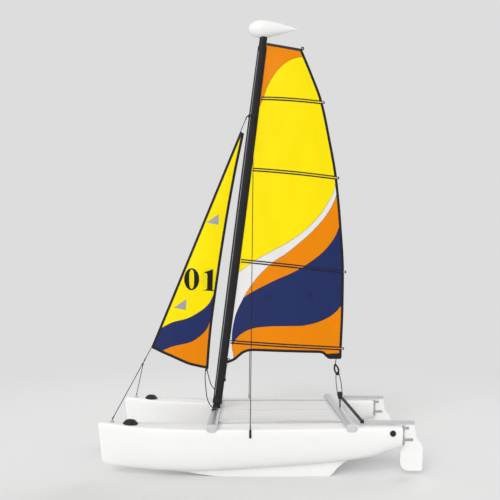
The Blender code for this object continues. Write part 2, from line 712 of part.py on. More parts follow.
def strip_on_sail(low_row, high_row):
    """Batten on the sail's port side, between two rows and past the leech."""
    near = SAIL_THICKNESS / 2.0 + SEAT
    far = near + BATTEN_THICKNESS
    sides = []
    for row in (low_row, high_row):
        points = [Vector(point) for point in row]
        first_run = points[1] - points[0]
        points[0] += first_run * (BATTEN_SETBACK / first_run.length)
        last_run = (points[-1] - points[-2]).normalized()
        points.append(points[-1] + last_run * BATTEN_OVERHANG)
        sides.append(points)
    rings = []
    for (x0, y0, z0), (x1, y1, z1) in zip(*sides):
        rings.append([(x0, y0 + near, z0), (x1, y1 + near, z1), (x1, y1 + far, z1),
                      (x0, y0 + far, z0)])
    return loft(rings)


def build_mainsail(rig, cloth, black):
    rows, batten_edges = mainsail_rows()
    add_object("mainsail", sail_mesh([with_luff_tape(row) for row in rows]), cloth, rig)
    for number, place in BATTEN_ROWS.items():
        low = batten_edges[place]
        strip = strip_on_sail(rows[low], rows[low + 1])
        add_object("batten_" + str(number), strip, black, rig)

    rings = []
    half = HEADBOARD_THICKNESS / 2.0
    for c, (x, belly, z) in enumerate(rows[-1]):
        if c == 0:
            x -= HEADBOARD_HEIGHT * math.tan(MAST_RAKE) + SEAT
        low = z + SEAT
        high = low + HEADBOARD_HEIGHT
        rings.append([(x, belly - half, low), (x, belly + half, low), (x, belly + half, high),
                      (x, belly - half, high)])
    add_object("headboard", loft(rings), black, rig)


def bail_radius():
    return MAST_CHORD_MIDDLE / 2.0 + TURNING_CLEARANCE


def forestay_points():
    """Middle line of the forestay, which bends a little at both ends of the jib's luff."""
    top = mast_point(HOUND_DISTANCE, -(bail_radius() + BAIL_THICKNESS + SEAT + WIRE_RADIUS))
    down = (BRIDLE_JOINT - FORESTAY_AT_TACK).normalized()
    bottom = BRIDLE_JOINT - down * (BRIDLE_BALL_RADIUS + SEAT)
    return [top, FORESTAY_AT_HEAD, FORESTAY_AT_TACK, bottom]


def wire_through(points, radius, sides=8):
    """Round wire in the middle plane through points that run down."""
    rings = []
    for i, point in enumerate(points):
        down = (points[min(i + 1, len(points) - 1)] - points[max(i - 1, 0)]).normalized()
        across = Vector((-down.z, 0.0, down.x))
        turns = [2.0 * math.pi * k / sides for k in range(sides)]
        rings.append([point + across * (radius * math.cos(a))
                      + Vector((0.0, radius * math.sin(a), 0.0)) for a in turns])
    return loft(rings)


def build_stays(steel, black):
    arc_steps = 16
    rings = []
    for i in range(arc_steps + 1):
        angle = -BAIL_ARC + 2.0 * BAIL_ARC * i / arc_steps
        ring = []
        for radius, rise in ((0.0, -0.5), (1.0, -0.5), (1.0, 0.5), (0.0, 0.5)):
            reach = bail_radius() + radius * BAIL_THICKNESS
            ring.append(mast_point(HOUND_DISTANCE + rise * BAIL_HEIGHT,
                                   -reach * math.cos(angle), reach * math.sin(angle)))
        rings.append(ring)
    add_object("stay_bail", loft(rings), black)

    add_object("forestay", wire_through(forestay_points(), WIRE_RADIUS), steel)

    ball = bmesh.new()
    bmesh.ops.create_uvsphere(ball, u_segments=16, v_segments=10, radius=BRIDLE_BALL_RADIUS)
    joint = add_object("bridle_joint", ball, steel)
    joint.location = BRIDLE_JOINT

    for side in SIDES:
        sign = sign_of(side)
        deck = line_at(DECK_LINE, BRIDLE_X)
        y = sign * HULL_SPACING / 2.0
        plate = box_mesh((BRIDLE_X - BRIDLE_PLATE_HALF_LENGTH, y - BRIDLE_PLATE_HALF_WIDTH,
                          deck + SEAT + BRIDLE_PLATE_LIFT),
                         (BRIDLE_X + BRIDLE_PLATE_HALF_LENGTH, y + BRIDLE_PLATE_HALF_WIDTH,
                          deck + BRIDLE_PLATE_HEIGHT))
        add_object("bridle_plate_" + side, bevel_all(plate, BRIDLE_PLATE_ROUNDING), steel)
        target = Vector((BRIDLE_X, y, deck + BRIDLE_PLATE_HEIGHT + SEAT))
        towards = (target - BRIDLE_JOINT).normalized()
        target.z += WIRE_RADIUS * math.hypot(towards.x, towards.y)
        towards = (target - BRIDLE_JOINT).normalized()
        start = BRIDLE_JOINT + towards * (BRIDLE_BALL_RADIUS + SEAT)
        add_object("bridle_leg_" + side, rod_between(start, target, WIRE_RADIUS), steel)

        face = HULL_SPACING / 2.0 + hull_half_width(CHAINPLATE_X) + SEAT
        inner = sign * face
        outer = sign * (face + CHAINPLATE_THICKNESS)
        half = CHAINPLATE_WIDTH / 2.0
        plate = box_mesh((CHAINPLATE_X - half, min(inner, outer), CHAINPLATE_BOTTOM),
                         (CHAINPLATE_X + half, max(inner, outer), CHAINPLATE_TOP))
        add_object("chainplate_" + side, bevel_all(plate, CHAINPLATE_ROUNDING), black)
        shroud_low = Vector((CHAINPLATE_X, (inner + outer) / 2.0, CHAINPLATE_TOP + SEAT))
        reach = bail_radius() + BAIL_THICKNESS + SEAT + WIRE_RADIUS
        shroud_high = mast_point(HOUND_DISTANCE, 0.0, sign * reach)
        lean = abs(shroud_high.y - shroud_low.y) / (shroud_high.z - shroud_low.z)
        shroud_low.z += CHAINPLATE_THICKNESS / 2.0 * lean
        add_object("shroud_" + side, rod_between(shroud_low, shroud_high, WIRE_RADIUS), steel)


def jib_luff_point(height):
    """Point just behind the forestay at a height."""
    down = (FORESTAY_AT_TACK - FORESTAY_AT_HEAD).normalized()
    aft = Vector((down.z, 0.0, -down.x)) * (WIRE_RADIUS + SEAT)
    point = FORESTAY_AT_HEAD + aft
    point += down * ((height - point.z) / down.z)
    return point.x, point.z


def build_jib(cloth):
    rows = [sail_row([jib_luff_point(JIB_TACK_Z)] + JIB_FOOT + [JIB_CLEW])]
    for height, end in zip(JIB_LUFF_HEIGHTS, JIB_LEECH):
        rows.append(sail_row([jib_luff_point(height), end]))
    add_object("jib", sail_mesh(rows), cloth)


def build_rudder(side, steel, aluminium, white):
    y = sign_of(side) * HULL_SPACING / 2.0
    post = make_empty("rudder_axis_" + side, (RUDDER_AXIS_X, y, 0.0))
    to_side = Matrix.Translation((0.0, y, 0.0))

    rod = turned([(ROD_HEAD_RADIUS, ROD_BOTTOM - ROD_HEAD_HEIGHT), (ROD_HEAD_RADIUS, ROD_BOTTOM),
                  (ROD_RADIUS, ROD_BOTTOM), (ROD_RADIUS, ROD_TOP), (ROD_HEAD_RADIUS, ROD_TOP),
                  (ROD_HEAD_RADIUS, ROD_TOP + ROD_HEAD_HEIGHT)], 16)
    add_object("rudder_rod_" + side, rod, steel,
               matrix=Matrix.Translation((RUDDER_AXIS_X, y, 0.0)))
    inner = ROD_RADIUS + SEAT
    outer = inner + STRAP_THICKNESS
    for name, (low, high) in (("upper", UPPER_GUDGEON), ("lower", LOWER_GUDGEON)):
        outline = hairpin(RUDDER_AXIS_X, inner, outer, TRANSOM_X - SEAT)
        add_object("gudgeon_" + name + "_" + side, plan_prism(outline, low, high), steel,
                   matrix=to_side)

    front = RUDDER_AXIS_X - BLADE_FRONT
    outline = BLADE_OUTLINE + [(front, BLADE_NECK_BOTTOM), (front, TILLER_BOTTOM - SEAT)]
    outline[0] = (outline[0][0], TILLER_BOTTOM - SEAT)
    blade = bevel_all(side_prism(outline, BLADE_THICKNESS / 2.0), BLADE_EDGE, 2,
                      math.radians(60.0))
    add_object("rudder_blade_" + side, blade, white, post, to_side)
    inner = BLADE_THICKNESS / 2.0 + SEAT
    outer = inner + STRAP_THICKNESS
    for name, (low, high, reach) in (("upper", UPPER_STRAP), ("lower", LOWER_STRAP)):
        outline = hairpin(RUDDER_AXIS_X, inner, outer, reach)
        add_object("rudder_strap_" + name + "_" + side, plan_prism(outline, low, high), steel,
                   post, to_side)

    aft = BLADE_OUTLINE[0][0]
    end = TILLER_PIVOT_X - TILLER_END_FROM_PIVOT
    low = TILLER_BOTTOM + TILLER_RISE
    outline = [(aft, TILLER_BOTTOM), (end, low), (TILLER_PIVOT_X + TONGUE_REACH, low),
               (TILLER_PIVOT_X + TONGUE_REACH, low + TONGUE_THICKNESS),
               (end, low + TONGUE_THICKNESS), (end, low + TILLER_DEPTH),
               (aft, TILLER_BOTTOM + TILLER_DEPTH)]
    tiller = bevel_all(side_prism(outline, TILLER_WIDTH / 2.0), TILLER_ROUNDING, 1)
    add_object("tiller_" + side, tiller, aluminium, post, to_side)


def build_crossbar(black):
    pivot = make_empty("crossbar_axis", (TILLER_PIVOT_X, HULL_SPACING / 2.0, 0.0))
    low = TILLER_BOTTOM + TILLER_RISE + TONGUE_THICKNESS + SEAT
    middle = low + SOCKET_SIZE[2] / 2.0
    reach = HULL_SPACING / 2.0
    bar = add_object("tiller_crossbar",
                     rod_between(Vector((TILLER_PIVOT_X, -reach, middle)),
                                 Vector((TILLER_PIVOT_X, reach, middle)),
                                 CROSSBAR_RADIUS, 20), black, pivot)
    for side in SIDES:
        sign = sign_of(side)
        y = sign * reach
        block = box_mesh((TILLER_PIVOT_X - SOCKET_SIZE[0] / 2.0, y - SOCKET_SIZE[1] / 2.0, low),
                         (TILLER_PIVOT_X + SOCKET_SIZE[0] / 2.0, y + SOCKET_SIZE[1] / 2.0,
                          low + SOCKET_SIZE[2]))
        socket = make_cutter("socket_" + side, bevel_all(block, SOCKET_ROUNDING))
        cut_with(bar, socket, "UNION")


def pulley_block(name, x, z, eye_end, finish, parent=None):
    """Pulley block: two cheeks with a sheave between them and a strap to the eye's end."""
    towards = 1.0 if eye_end > z else -1.0
    radius = SHEET_BLOCK_RADIUS
    head = z + towards * (SHEAVE_RADIUS + radius) * BLOCK_HEAD_SHARE
    steps = 12
    points = []
    for i in range(steps + 1):
        angle = -towards * math.pi * i / steps
        points.append((x + radius * math.cos(angle), z + radius * math.sin(angle)))
    neck = BLOCK_EYE_HALF_WIDTH
    shoulder = radius * BLOCK_NECK_SHARE
    points += [(x - shoulder, head), (x - neck, head + towards * neck), (x - neck, eye_end),
               (x + neck, eye_end), (x + neck, head + towards * neck), (x + shoulder, head)]
    block = add_object(name, side_prism(points, SHEET_BLOCK_THICKNESS / 2.0), finish, parent)
    half = SHEAVE_WIDTH / 2.0
    reach = radius * BLOCK_GROOVE_SHARE
    slot = turned_ring([(SHEAVE_RADIUS, -half), (reach, -half), (reach, half),
                        (SHEAVE_RADIUS, half)])
    cutter = make_cutter(name + "_groove", slot)
    cutter.matrix_world = Matrix.Translation((x, 0.0, z)) @ Matrix.Rotation(math.pi / 2.0, 4, "X")
    cut_with(block, cutter)


def build_sheet_blocks(rig, black):
    sail_foot = line_at([MAIN_CLEW, MAIN_FOOT[-1]], UPPER_BLOCK_X - BLOCK_EYE_HALF_WIDTH) - SEAT
    pulley_block("mainsheet_block_upper", UPPER_BLOCK_X, UPPER_BLOCK_Z, sail_foot, black, rig)
    beam_top = BEAM_Z + BEAM_HEIGHT / 2.0 + SEAT
    pulley_block("mainsheet_block_lower", LOWER_BLOCK_X, LOWER_BLOCK_Z, beam_top, black)


def build_all():
    clear_scene()
    white = make_material("white_shell", (0.90, 0.90, 0.89), 0.35)
    black = make_material("black_plastic", (0.022, 0.021, 0.024), 0.45)
    grey = make_material("grey_plastic", (0.62, 0.63, 0.64), 0.50)
    aluminium = make_material("aluminium", (0.80, 0.81, 0.82), 0.30, 0.9)
    steel = make_material("steel", (0.45, 0.46, 0.47), 0.30, 0.9)
    main_cloth = make_material("mainsail_cloth", (1.0, 0.84, 0.0), 0.75)
    jib_cloth = make_material("jib_cloth", (1.0, 0.84, 0.0), 0.75)
    deck_cloth = make_material("trampoline_cloth", (0.80, 0.80, 0.80), 0.85)

    rig = make_empty("mast_axis", MAST_BASE)
    channels = build_hulls(white, black)
    build_beams(aluminium, grey)
    build_trampoline(deck_cloth, aluminium)
    build_mast(rig, black, white, channels)
    build_mainsail(rig, main_cloth, black)
    build_stays(steel, black)
    build_jib(jib_cloth)
    for side in SIDES:
        build_rudder(side, steel, aluminium, white)
    build_crossbar(black)
    build_sheet_blocks(rig, black)


build_all()
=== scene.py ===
"""Looks of the small beach catamaran: smooth dressed sails, running rigging and materials.

Metres, in the model's own frame: +X towards the bow, +Y to port, +Z up. A sail's shape is
given in the boat's centre plane as (x, z) points and then carried out to its belly.
"""
import json
import math

import bmesh
import bpy
import numpy as np
from mathutils import Matrix, Vector, noise
from mathutils.bvhtree import BVHTree
from mathutils.geometry import delaunay_2d_cdt


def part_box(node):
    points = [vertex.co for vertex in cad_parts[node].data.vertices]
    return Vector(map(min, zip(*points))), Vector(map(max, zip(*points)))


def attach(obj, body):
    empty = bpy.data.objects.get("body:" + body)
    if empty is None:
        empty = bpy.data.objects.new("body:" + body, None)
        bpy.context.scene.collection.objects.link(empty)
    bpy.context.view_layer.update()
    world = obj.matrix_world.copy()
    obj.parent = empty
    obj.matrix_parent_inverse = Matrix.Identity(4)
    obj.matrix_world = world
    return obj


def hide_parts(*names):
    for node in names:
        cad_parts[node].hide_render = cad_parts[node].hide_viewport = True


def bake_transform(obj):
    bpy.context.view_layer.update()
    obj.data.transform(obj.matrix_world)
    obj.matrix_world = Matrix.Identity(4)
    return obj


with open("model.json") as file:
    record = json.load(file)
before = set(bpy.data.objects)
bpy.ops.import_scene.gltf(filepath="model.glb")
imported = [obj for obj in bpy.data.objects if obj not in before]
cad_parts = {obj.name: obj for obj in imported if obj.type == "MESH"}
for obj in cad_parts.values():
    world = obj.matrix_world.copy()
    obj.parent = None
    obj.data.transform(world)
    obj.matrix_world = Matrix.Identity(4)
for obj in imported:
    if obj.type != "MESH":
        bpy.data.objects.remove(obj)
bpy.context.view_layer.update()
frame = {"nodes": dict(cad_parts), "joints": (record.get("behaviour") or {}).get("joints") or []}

# Camera, from the picture's one-point view of the port side
CAMERA_PLACE = (0.151, 6.340, 1.907)
CAMERA_LENS = 41.04
CAMERA_SHIFT = (0.01, 0.07)

# Cloth
CLOTH_HALF = 0.0006           # half the cloth's thickness
BURIED = CLOTH_HALF / 2.0     # where pieces on the cloth begin
GRID = 0.030                  # spacing of the cloth's free points
PATCH_GRID = 0.012
PATCH_STEP = 0.020            # along a patch's edge
BORDER_STEP = 0.018           # a colour border has two points in each
FOOT_STEP = 0.025
LEECH_STEP = 0.030
LUFF_STEP = 0.040
CAMBER = 0.045
BELLY = (1.25, 0.75)          # of the camber, from luff to leech
WRINKLE = 0.0022
HEAD_FLAT = 0.45              # height below the head over which the mainsail flattens
LUFF_INSIDE = 0.008           # of the mainsail's cloth in the mast's groove
TACK_INSIDE = 0.004
GROOVE_SIDE = 0.0055          # beside the groove, to find the mast's aft face
TAPE_INSIDE = 0.019           # width of the edge tape on the cloth
TAPE_OUTSIDE = 0.010          # and past the cloth's edge
TAPE_LIFT = 0.0012
LUFF_TAPE = 0.020
POCKET_WIDTH = 0.027
POCKET_RISE = 0.0026
SEAM_INSIDE = 0.007           # on the batten pocket
SEAM_OUTSIDE = 0.007          # beside it
SEAM_RISE = (0.0004, 0.0012)  # on the pocket, and beside it
BORDER_SEAM = (0.0014, 0.0006)  # half its width, and its thickness
BATTEN_START = 0.010          # behind the luff
BATTEN_STEP = 0.010
BATTEN_CAP = ((-0.016, -0.0055, -0.014), (0.018, 0.0055, 0.014))  # low, high corner
CAP_PLUG = ((-0.001, -0.0065, -0.007), (0.013, 0.0065, 0.007))
# Section of the headboard, across and out
HEAD_SECTION = [(0.016, 0.0030), (-0.006, 0.0040), (-0.0125, 0.0030), (-0.0125, -0.0030),
                (-0.006, -0.0040), (0.016, -0.0030)]
HEAD_EYE = (0.012, 0.013)     # radii of its ring
HEAD_EYE_WIRE = 0.0068
HEAD_EYE_REACH = (-0.014, 0.016)  # from the leech's upper end
BOARD_INSET = 0.004           # from the mast
STITCHED_RINGS = [(-0.104, 1.761), (-0.572, 1.776)]
STITCHED_RING = (0.030, 0.008, 0.0011)  # radius, width and thickness
CORNER_EYES = [(0.334, 1.080), (-0.865, 1.112)]
CORNER_EYE = (0.011, 0.007, 0.0046)

# Mainsail, from luff to leech: heights that a row of cloth joins
MAIN_ROWS = [(1.045, 1.094), (1.277, 1.201), (1.720, 1.620), (2.178, 2.054), (2.680, 2.570),
             (3.200, 3.107), (3.590, 3.520), (3.990, 3.945), (4.300, 4.240), (4.588, 4.521)]
MAIN_LEECH = [(-0.912, 1.094), (-0.916, 1.201), (-0.934, 1.620), (-0.940, 2.054),
              (-0.912, 2.570), (-0.862, 3.107), (-0.790, 3.520), (-0.700, 3.945),
              (-0.592, 4.240), (-0.475, 4.521)]
MAIN_FOOT = [(0.330, 1.052), (0.264, 1.083), (0.210, 1.130), (0.160, 1.165), (0.095, 1.184),
             (-0.010, 1.185), (-0.280, 1.176), (-0.560, 1.167), (-0.693, 1.161),
             (-0.732, 1.138), (-0.777, 1.099), (-0.845, 1.096)]
BATTEN_HEIGHTS = (3.982, 3.192, 2.178, 1.277)
CLEW_PATCH = [(-0.730, 1.142), (-0.914, 1.150), (-0.911, 1.108), (-0.907, 1.100),
              (-0.899, 1.096), (-0.845, 1.098), (-0.777, 1.101)]
CLEW_PATCH_THICKNESS = 0.0030
CORNER_ROUND = 0.012          # of the edge tape at the clew

# Colour borders of the mainsail
HEAD_BORDER = [(-0.520, 4.447), (-0.440, 4.437), (-0.365, 4.414), (-0.283, 4.361),
               (-0.202, 4.281), (-0.136, 4.184), (-0.095, 4.102), (-0.058, 4.007),
               (-0.020, 3.905)]
YELLOW_BORDER = [(-0.864, 3.095), (-0.836, 2.951), (-0.771, 2.823), (-0.679, 2.683),
                 (-0.522, 2.520), (-0.312, 2.369), (-0.136, 2.276), (0.018, 2.190),
                 (0.240, 2.036)]
WHITE_BORDER = [(0.300, 1.000), (0.278, 1.106), (0.296, 1.230), (0.296, 1.330), (0.264, 1.540),
                (0.167, 1.765), (0.039, 1.962), (-0.065, 2.075), (-0.178, 2.173),
                (-0.294, 2.248), (-0.446, 2.368), (-0.614, 2.520), (-0.752, 2.683),
                (-0.835, 2.826), (-0.870, 2.930), (-0.880, 3.000)]
ORANGE_BORDER = [(-0.915, 2.607), (-0.890, 2.537), (-0.848, 2.442), (-0.754, 2.315),
                 (-0.652, 2.219), (-0.395, 2.053), (-0.189, 1.961), (0.090, 1.817),
                 (0.175, 1.760)]
NAVY_BORDER = [(-0.960, 1.703), (-0.918, 1.675), (-0.858, 1.609), (-0.754, 1.538),
               (-0.601, 1.481), (-0.446, 1.456), (-0.189, 1.454), (-0.014, 1.443),
               (0.090, 1.420), (0.192, 1.367), (0.255, 1.305), (0.286, 1.251)]

# Colour, border and whether it is upright. The first panel that holds a place colours it.
MAIN_PANELS = [("orange", HEAD_BORDER, False), ("yellow", YELLOW_BORDER, False),
               ("white", WHITE_BORDER, True), ("orange", ORANGE_BORDER, False),
               ("navy", NAVY_BORDER, False)]
LOWEST_PANEL = "orange"       # of both sails

# Jib
JIB_ROWS = [(1.215, 0.984), (1.500, 1.360), (1.960, 1.831), (2.560, 2.500), (3.160, 3.130),
            (3.611, 3.594)]
JIB_LEECH = [(0.568, 0.984), (0.538, 1.360), (0.478, 1.831), (0.378, 2.500), (0.267, 3.130),
             (0.170, 3.594)]
JIB_FOOT = [(1.135, 1.193), (1.073, 1.164), (0.958, 1.115), (0.822, 1.053), (0.757, 1.028),
            (0.692, 1.012), (0.639, 0.999)]
JIB_YELLOW_BORDER = [(0.480, 1.880), (0.493, 1.825), (0.554, 1.697), (0.674, 1.597),
                     (0.795, 1.535), (0.952, 1.493), (1.082, 1.427), (1.140, 1.390)]
JIB_NAVY_BORDER = [(0.510, 1.600), (0.524, 1.554), (0.577, 1.420), (0.662, 1.331),
                   (0.771, 1.270), (0.952, 1.228), (1.073, 1.176), (1.140, 1.140)]
JIB_PANELS = [("yellow", JIB_YELLOW_BORDER, False), ("navy", JIB_NAVY_BORDER, False)]
JIB_HEAD_PATCH = 0.045        # height of the dark cloth at its head
HEAD_PATCH_THICKNESS = 0.0016
JIB_WINDOWS = [[(0.580, 2.602), (0.441, 2.695), (0.445, 2.576)],
               [(0.941, 1.656), (0.801, 1.750), (0.807, 1.630)]]
WINDOW_THICKNESS = 0.0013
FIGURE_THICKNESS = 0.0013
ZERO_CENTRE = (0.743, 1.972)
ZERO_OUTER = (0.0845, 0.1215)
ZERO_INNER = (0.0270, 0.1060)
ZERO_RISE = 0.0008            # over the cloth's face
ONE_OUTLINE = [(0.608, 2.046), (0.506, 2.084), (0.512, 1.862), (0.508, 1.852), (0.482, 1.843),
               (0.482, 1.838), (0.617, 1.847), (0.617, 1.852), (0.585, 1.854), (0.572, 1.866),
               (0.569, 2.020), (0.578, 2.037), (0.594, 2.041)]
FIGURE_TURN = 1.296           # sum of x for matching places on the two sides

# Running rigging
ROPE = 0.0050                 # radius
SHEET_ROPE = 0.0043
THIN_ROPE = 0.0028
JIB_CLEW_EYE = (0.014, 0.010)  # from the foot of the jib's leech
FAIRLEAD_Y = 0.150
FAIRLEAD_AHEAD = {"port": 0.020, "starboard": -0.020}
JIB_SHEETS = {"port": [(0.592, 0.045, 0.900), (0.582, 0.085, 0.790), (0.563, 0.125, 0.672),
                       (0.530, 0.145, 0.605)],
              "starboard": [(0.537, -0.060, 0.802), (0.496, -0.105, 0.724)]}
FAIRLEAD_BASE = ((-0.020, -0.012, -0.006), (0.020, 0.012, 0.012))
FAIRLEAD_HOOP = (0.011, 0.013)
FAIRLEAD_WIRE = 0.003
FAIRLEAD_RISE = 0.020         # of the rope over the beam
HOOP_DROP = 0.002             # of the hoop's middle from the rope
SHEET_TAIL = (0.022, 0.042)   # past the fairlead, to the stopper knot
CLEW_KNOT = 0.034             # from the sheet's start in the clew
KNOT_HALF = 0.011
KNOT_SWELL = 0.9              # share of the rope's radius
LOWER_SHEAVE = 0.021          # radius in the lower block
LOWER_SHEAVE_DROP = 0.030     # of its middle from the block's top
SHEET_BOW = 0.006             # of each fall, out from a straight line
HALYARD_SPAN = (0.150, 4.020)  # along the mast's axis
HALYARD_AHEAD = 0.034
HALYARD_CLEAT = [(-0.024, 0.0020), (-0.019, 0.0056), (-0.006, 0.0078), (0.010, 0.0070),
                 (0.020, 0.0040)]
DOWNHAUL_CLEAT = 0.860        # height

# Open link at the mainsail's clew, which the mainsheet runs through
LINK_CENTRE = (-0.8665, 0.9665)
LINK_OUTER = (0.0305, 0.0680)
LINK_INNER = (0.0120, 0.0390)
LINK_LEAN = 14.0              # degrees, its foot aft
LINK_CHEEKS = (0.0050, 0.0085)
LINK_PINS = (0.0480, 0.0560)  # below and above its centre
LINK_PIN = 0.0045             # radius
PIN_END = 0.002               # past the cheeks
LINK_STRAP = 0.0048           # radius
STRAP_EYE = (-0.012, 0.012)   # from the upper pin, and over the hidden block's top
LINK_SHEAVE = 0.0140          # radius at the bottom of its groove
SHEAVE_HALF = 0.0045
SHEAVE_LIP = 0.004
SHEAVE_BORE = 0.003           # radius

# Fittings
BOLT_RADIUS = 0.0042
BOLT_DOME = ((-0.0005, 1.0), (0.0012, 1.0), (0.0022, 0.8), (0.0027, 0.3))  # rise, share
STRAP_BOLTS = (0.45, 0.85)    # shares of a strap's length behind its bend
PLATE_THICKNESS = 0.0022
PLATE_HALF = (0.028, 0.011)
PLATE_BOLT = 0.020            # beside the plate's middle
CAP_SCREW = 0.024             # beside the cap's middle
SCREW_SUNK = 0.0013
WIRE_END_REACH = 0.011
SLEEVE = [(0.002, 0.0046), (0.004, 0.0062), (0.038, 0.0062), (0.050, 0.0043)]  # reach, radius

# Trampoline
DECK_GRID = (56, 44)          # columns and rows
DECK_HALF = 0.0011            # half its cloth's thickness
DECK_DIP = 0.0007
DECK_INSET = (0.002, 0.001)   # from the opening's ends and sides
HEM_WIDTH = 0.030
HEM_BASE = 0.0006             # over the cloth's middle
HEM_THICKNESS = 0.0009
HEM_INSET = (0.003, 0.001)    # from the opening's ends, and from the rails

# Studio
BACKDROP = (0.72, 0.72, 0.72, 1.0)
FLOOR = (0.74, 0.74, 0.74, 1.0)
FLOOR_RADIUS = 60.0
FADE = (2.6, 8.0)             # floor into backdrop, from the boat's middle
WORLD_LIGHT = 0.64
LIGHT_SPREAD = 40.0           # degrees
LIGHTS = {"key_light": ((2.5, 6.5, 4.2), 1.75), "fill_light": ((-4.5, -5.0, 5.0), 0.70)}

SIDES = {"port": 1.0, "starboard": -1.0}
SHARP_PIECE = math.radians(40.0)  # edges past these angles stay crisp
SHARP_NODE = math.radians(35.0)


def colour(code):
    """Linear red, green and blue of a screen colour such as "#FFEC00"."""
    values = [int(code[i:i + 2], 16) / 255.0 for i in (1, 3, 5)]
    return [v / 12.92 if v <= 0.04045 else ((v + 0.055) / 1.055) ** 2.4 for v in values]


YELLOW = colour("#FFEC00")
ORANGE = colour("#F29100")
NAVY = colour("#243063")
WINDOW = colour("#9D9DA0")
WHITE = (0.85, 0.85, 0.84)
DARK = (0.018, 0.017, 0.020)
CLOTH_ROUGHNESS = 0.55


# Materials

def add_node(tree, kind, inputs=None, **settings):
    """New node, each input set to a value or linked to another node's output."""
    made = tree.nodes.new(kind)
    for name, value in settings.items():
        setattr(made, name, value)
    for name, value in (inputs or {}).items():
        if isinstance(value, bpy.types.NodeSocket):
            tree.links.new(value, made.inputs[name])
        else:
            made.inputs[name].default_value = value
    return made


def new_material(name, roughness, metallic=0.0, gloss=0.5):
    """Material, its node tree, its shader and the coordinates to paint it by."""
    made = bpy.data.materials.new(name)
    made.use_nodes = True
    tree = made.node_tree
    shader = tree.nodes["Principled BSDF"]
    for socket, value in (("Roughness", roughness), ("Metallic", metallic),
                          ("Specular IOR Level", gloss)):
        shader.inputs[socket].default_value = value
    return made, tree, shader, add_node(tree, "ShaderNodeTexCoord").outputs["Object"]


def stretched(tree, place, scale):
    """Coordinates scaled by one factor along each axis."""
    return add_node(tree, "ShaderNodeMapping", {"Scale": scale, "Vector": place}).outputs["Vector"]


def noise_value(tree, place, scale, detail=3.0):
    inputs = {"Scale": scale, "Detail": detail, "Vector": place}
    return add_node(tree, "ShaderNodeTexNoise", inputs).outputs["Fac"]


def waves(tree, place, scale, directions, distortion=0.0):
    """Bands across each of the named directions."""
    inputs = {"Scale": scale, "Distortion": distortion, "Vector": place}
    return [add_node(tree, "ShaderNodeTexWave", inputs, bands_direction=direction).outputs["Fac"]
            for direction in directions]


def between(tree, factor, low, high, low_at=0.3, high_at=0.7):
    """The factor carried from its range to the range low to high."""
    inputs = {"Value": factor, "From Min": low_at, "From Max": high_at, "To Min": low,
              "To Max": high}
    return add_node(tree, "ShaderNodeMapRange", inputs).outputs["Result"]


def tinted(tree, shader, base, factor, change):
    """Base colour that drifts towards base times change with the factor."""
    inputs = {"A": (*base, 1.0), "B": (*[c * change for c in base], 1.0), "Factor": factor}
    mixed = add_node(tree, "ShaderNodeMix", inputs, data_type="RGBA").outputs["Result"]
    tree.links.new(mixed, shader.inputs["Base Color"])
    return mixed


def bumped(tree, shader, height, strength, distance):
    inputs = {"Strength": strength, "Distance": distance, "Height": height}
    made = add_node(tree, "ShaderNodeBump", inputs)
    tree.links.new(made.outputs["Normal"], shader.inputs["Normal"])


def uneven(tree, shader, factor, roughness, low, high):
    """Roughness that drifts between two shares of its value."""
    tree.links.new(between(tree, factor, roughness * low, roughness * high),
                   shader.inputs["Roughness"])


def moulded_material(name, base, roughness, scuff=0.97, gloss=0.35):
    """Moulded plastic: faint orange peel, patches of duller skin and slow drift of tone."""
    made, tree, shader, place = new_material(name, roughness, 0.0, gloss)
    tinted(tree, shader, base, between(tree, noise_value(tree, place, 1.6), 0.0, 1.0), scuff)
    uneven(tree, shader, noise_value(tree, place, 9.0), roughness, 0.9, 1.12)
    bumped(tree, shader, noise_value(tree, place, 180.0, 1.0), 0.04, 0.0004)
    return made


def metal_material(name, base, roughness, metallic, grain=(1.0, 90.0, 90.0), gloss=0.5):
    """Drawn metal: fine streaks along one axis in its gloss, tone and surface."""
    made, tree, shader, place = new_material(name, roughness, metallic, gloss)
    streaks = noise_value(tree, stretched(tree, place, grain), 6.0, 4.0)
    tinted(tree, shader, base, between(tree, streaks, 0.0, 1.0), 0.86)
    uneven(tree, shader, streaks, roughness, 0.8, 1.3)
    bumped(tree, shader, streaks, 0.06, 0.0004)
    return made


def cloth_material(name, base, weave=420.0, through=0.22):
    """Resin-coated sailcloth: crossed threads, soft creases and some light through it."""
    made, tree, shader, place = new_material(name, CLOTH_ROUGHNESS, 0.0, 0.12)
    creases = noise_value(tree, stretched(tree, place, (1.3, 1.0, 0.5)), 4.0, 5.0)
    tone = tinted(tree, shader, base, between(tree, creases, 0.0, 1.0), 0.955)
    uneven(tree, shader, creases, CLOTH_ROUGHNESS, 0.85, 1.15)
    across, up = waves(tree, place, weave, "XZ", 0.4)
    cross = add_node(tree, "ShaderNodeMath", {0: across, 1: up}, operation="MULTIPLY")
    height = add_node(tree, "ShaderNodeMath", {0: creases, 1: 6.0, 2: cross.outputs[0]},
                      operation="MULTIPLY_ADD")
    bumped(tree, shader, height.outputs[0], 0.16, 0.0012)
    glow = add_node(tree, "ShaderNodeBsdfTranslucent", {"Color": tone})
    blend = add_node(tree, "ShaderNodeMixShader",
                     {"Fac": through, 1: shader.outputs[0], 2: glow.outputs[0]})
    tree.links.new(blend.outputs[0], tree.nodes["Material Output"].inputs["Surface"])
    return made


def mesh_cloth_material(name, base):
    """Open woven deck cloth: a coarse grid of round threads, with painted shade darkening the
    small holes between them.
    """
    made, tree, shader, place = new_material(name, 0.7)
    across, along = waves(tree, place, 90.0, "XY")
    both = add_node(tree, "ShaderNodeMath", {0: across, 1: along}, operation="MAXIMUM").outputs[0]
    # painted shade: the base colour falls to 0.55 of itself in the holes between the threads
    tinted(tree, shader, base, between(tree, both, 1.0, 0.0, 0.25, 0.8), 0.55)
    bumped(tree, shader, both, 0.5, 0.0015)
    return made


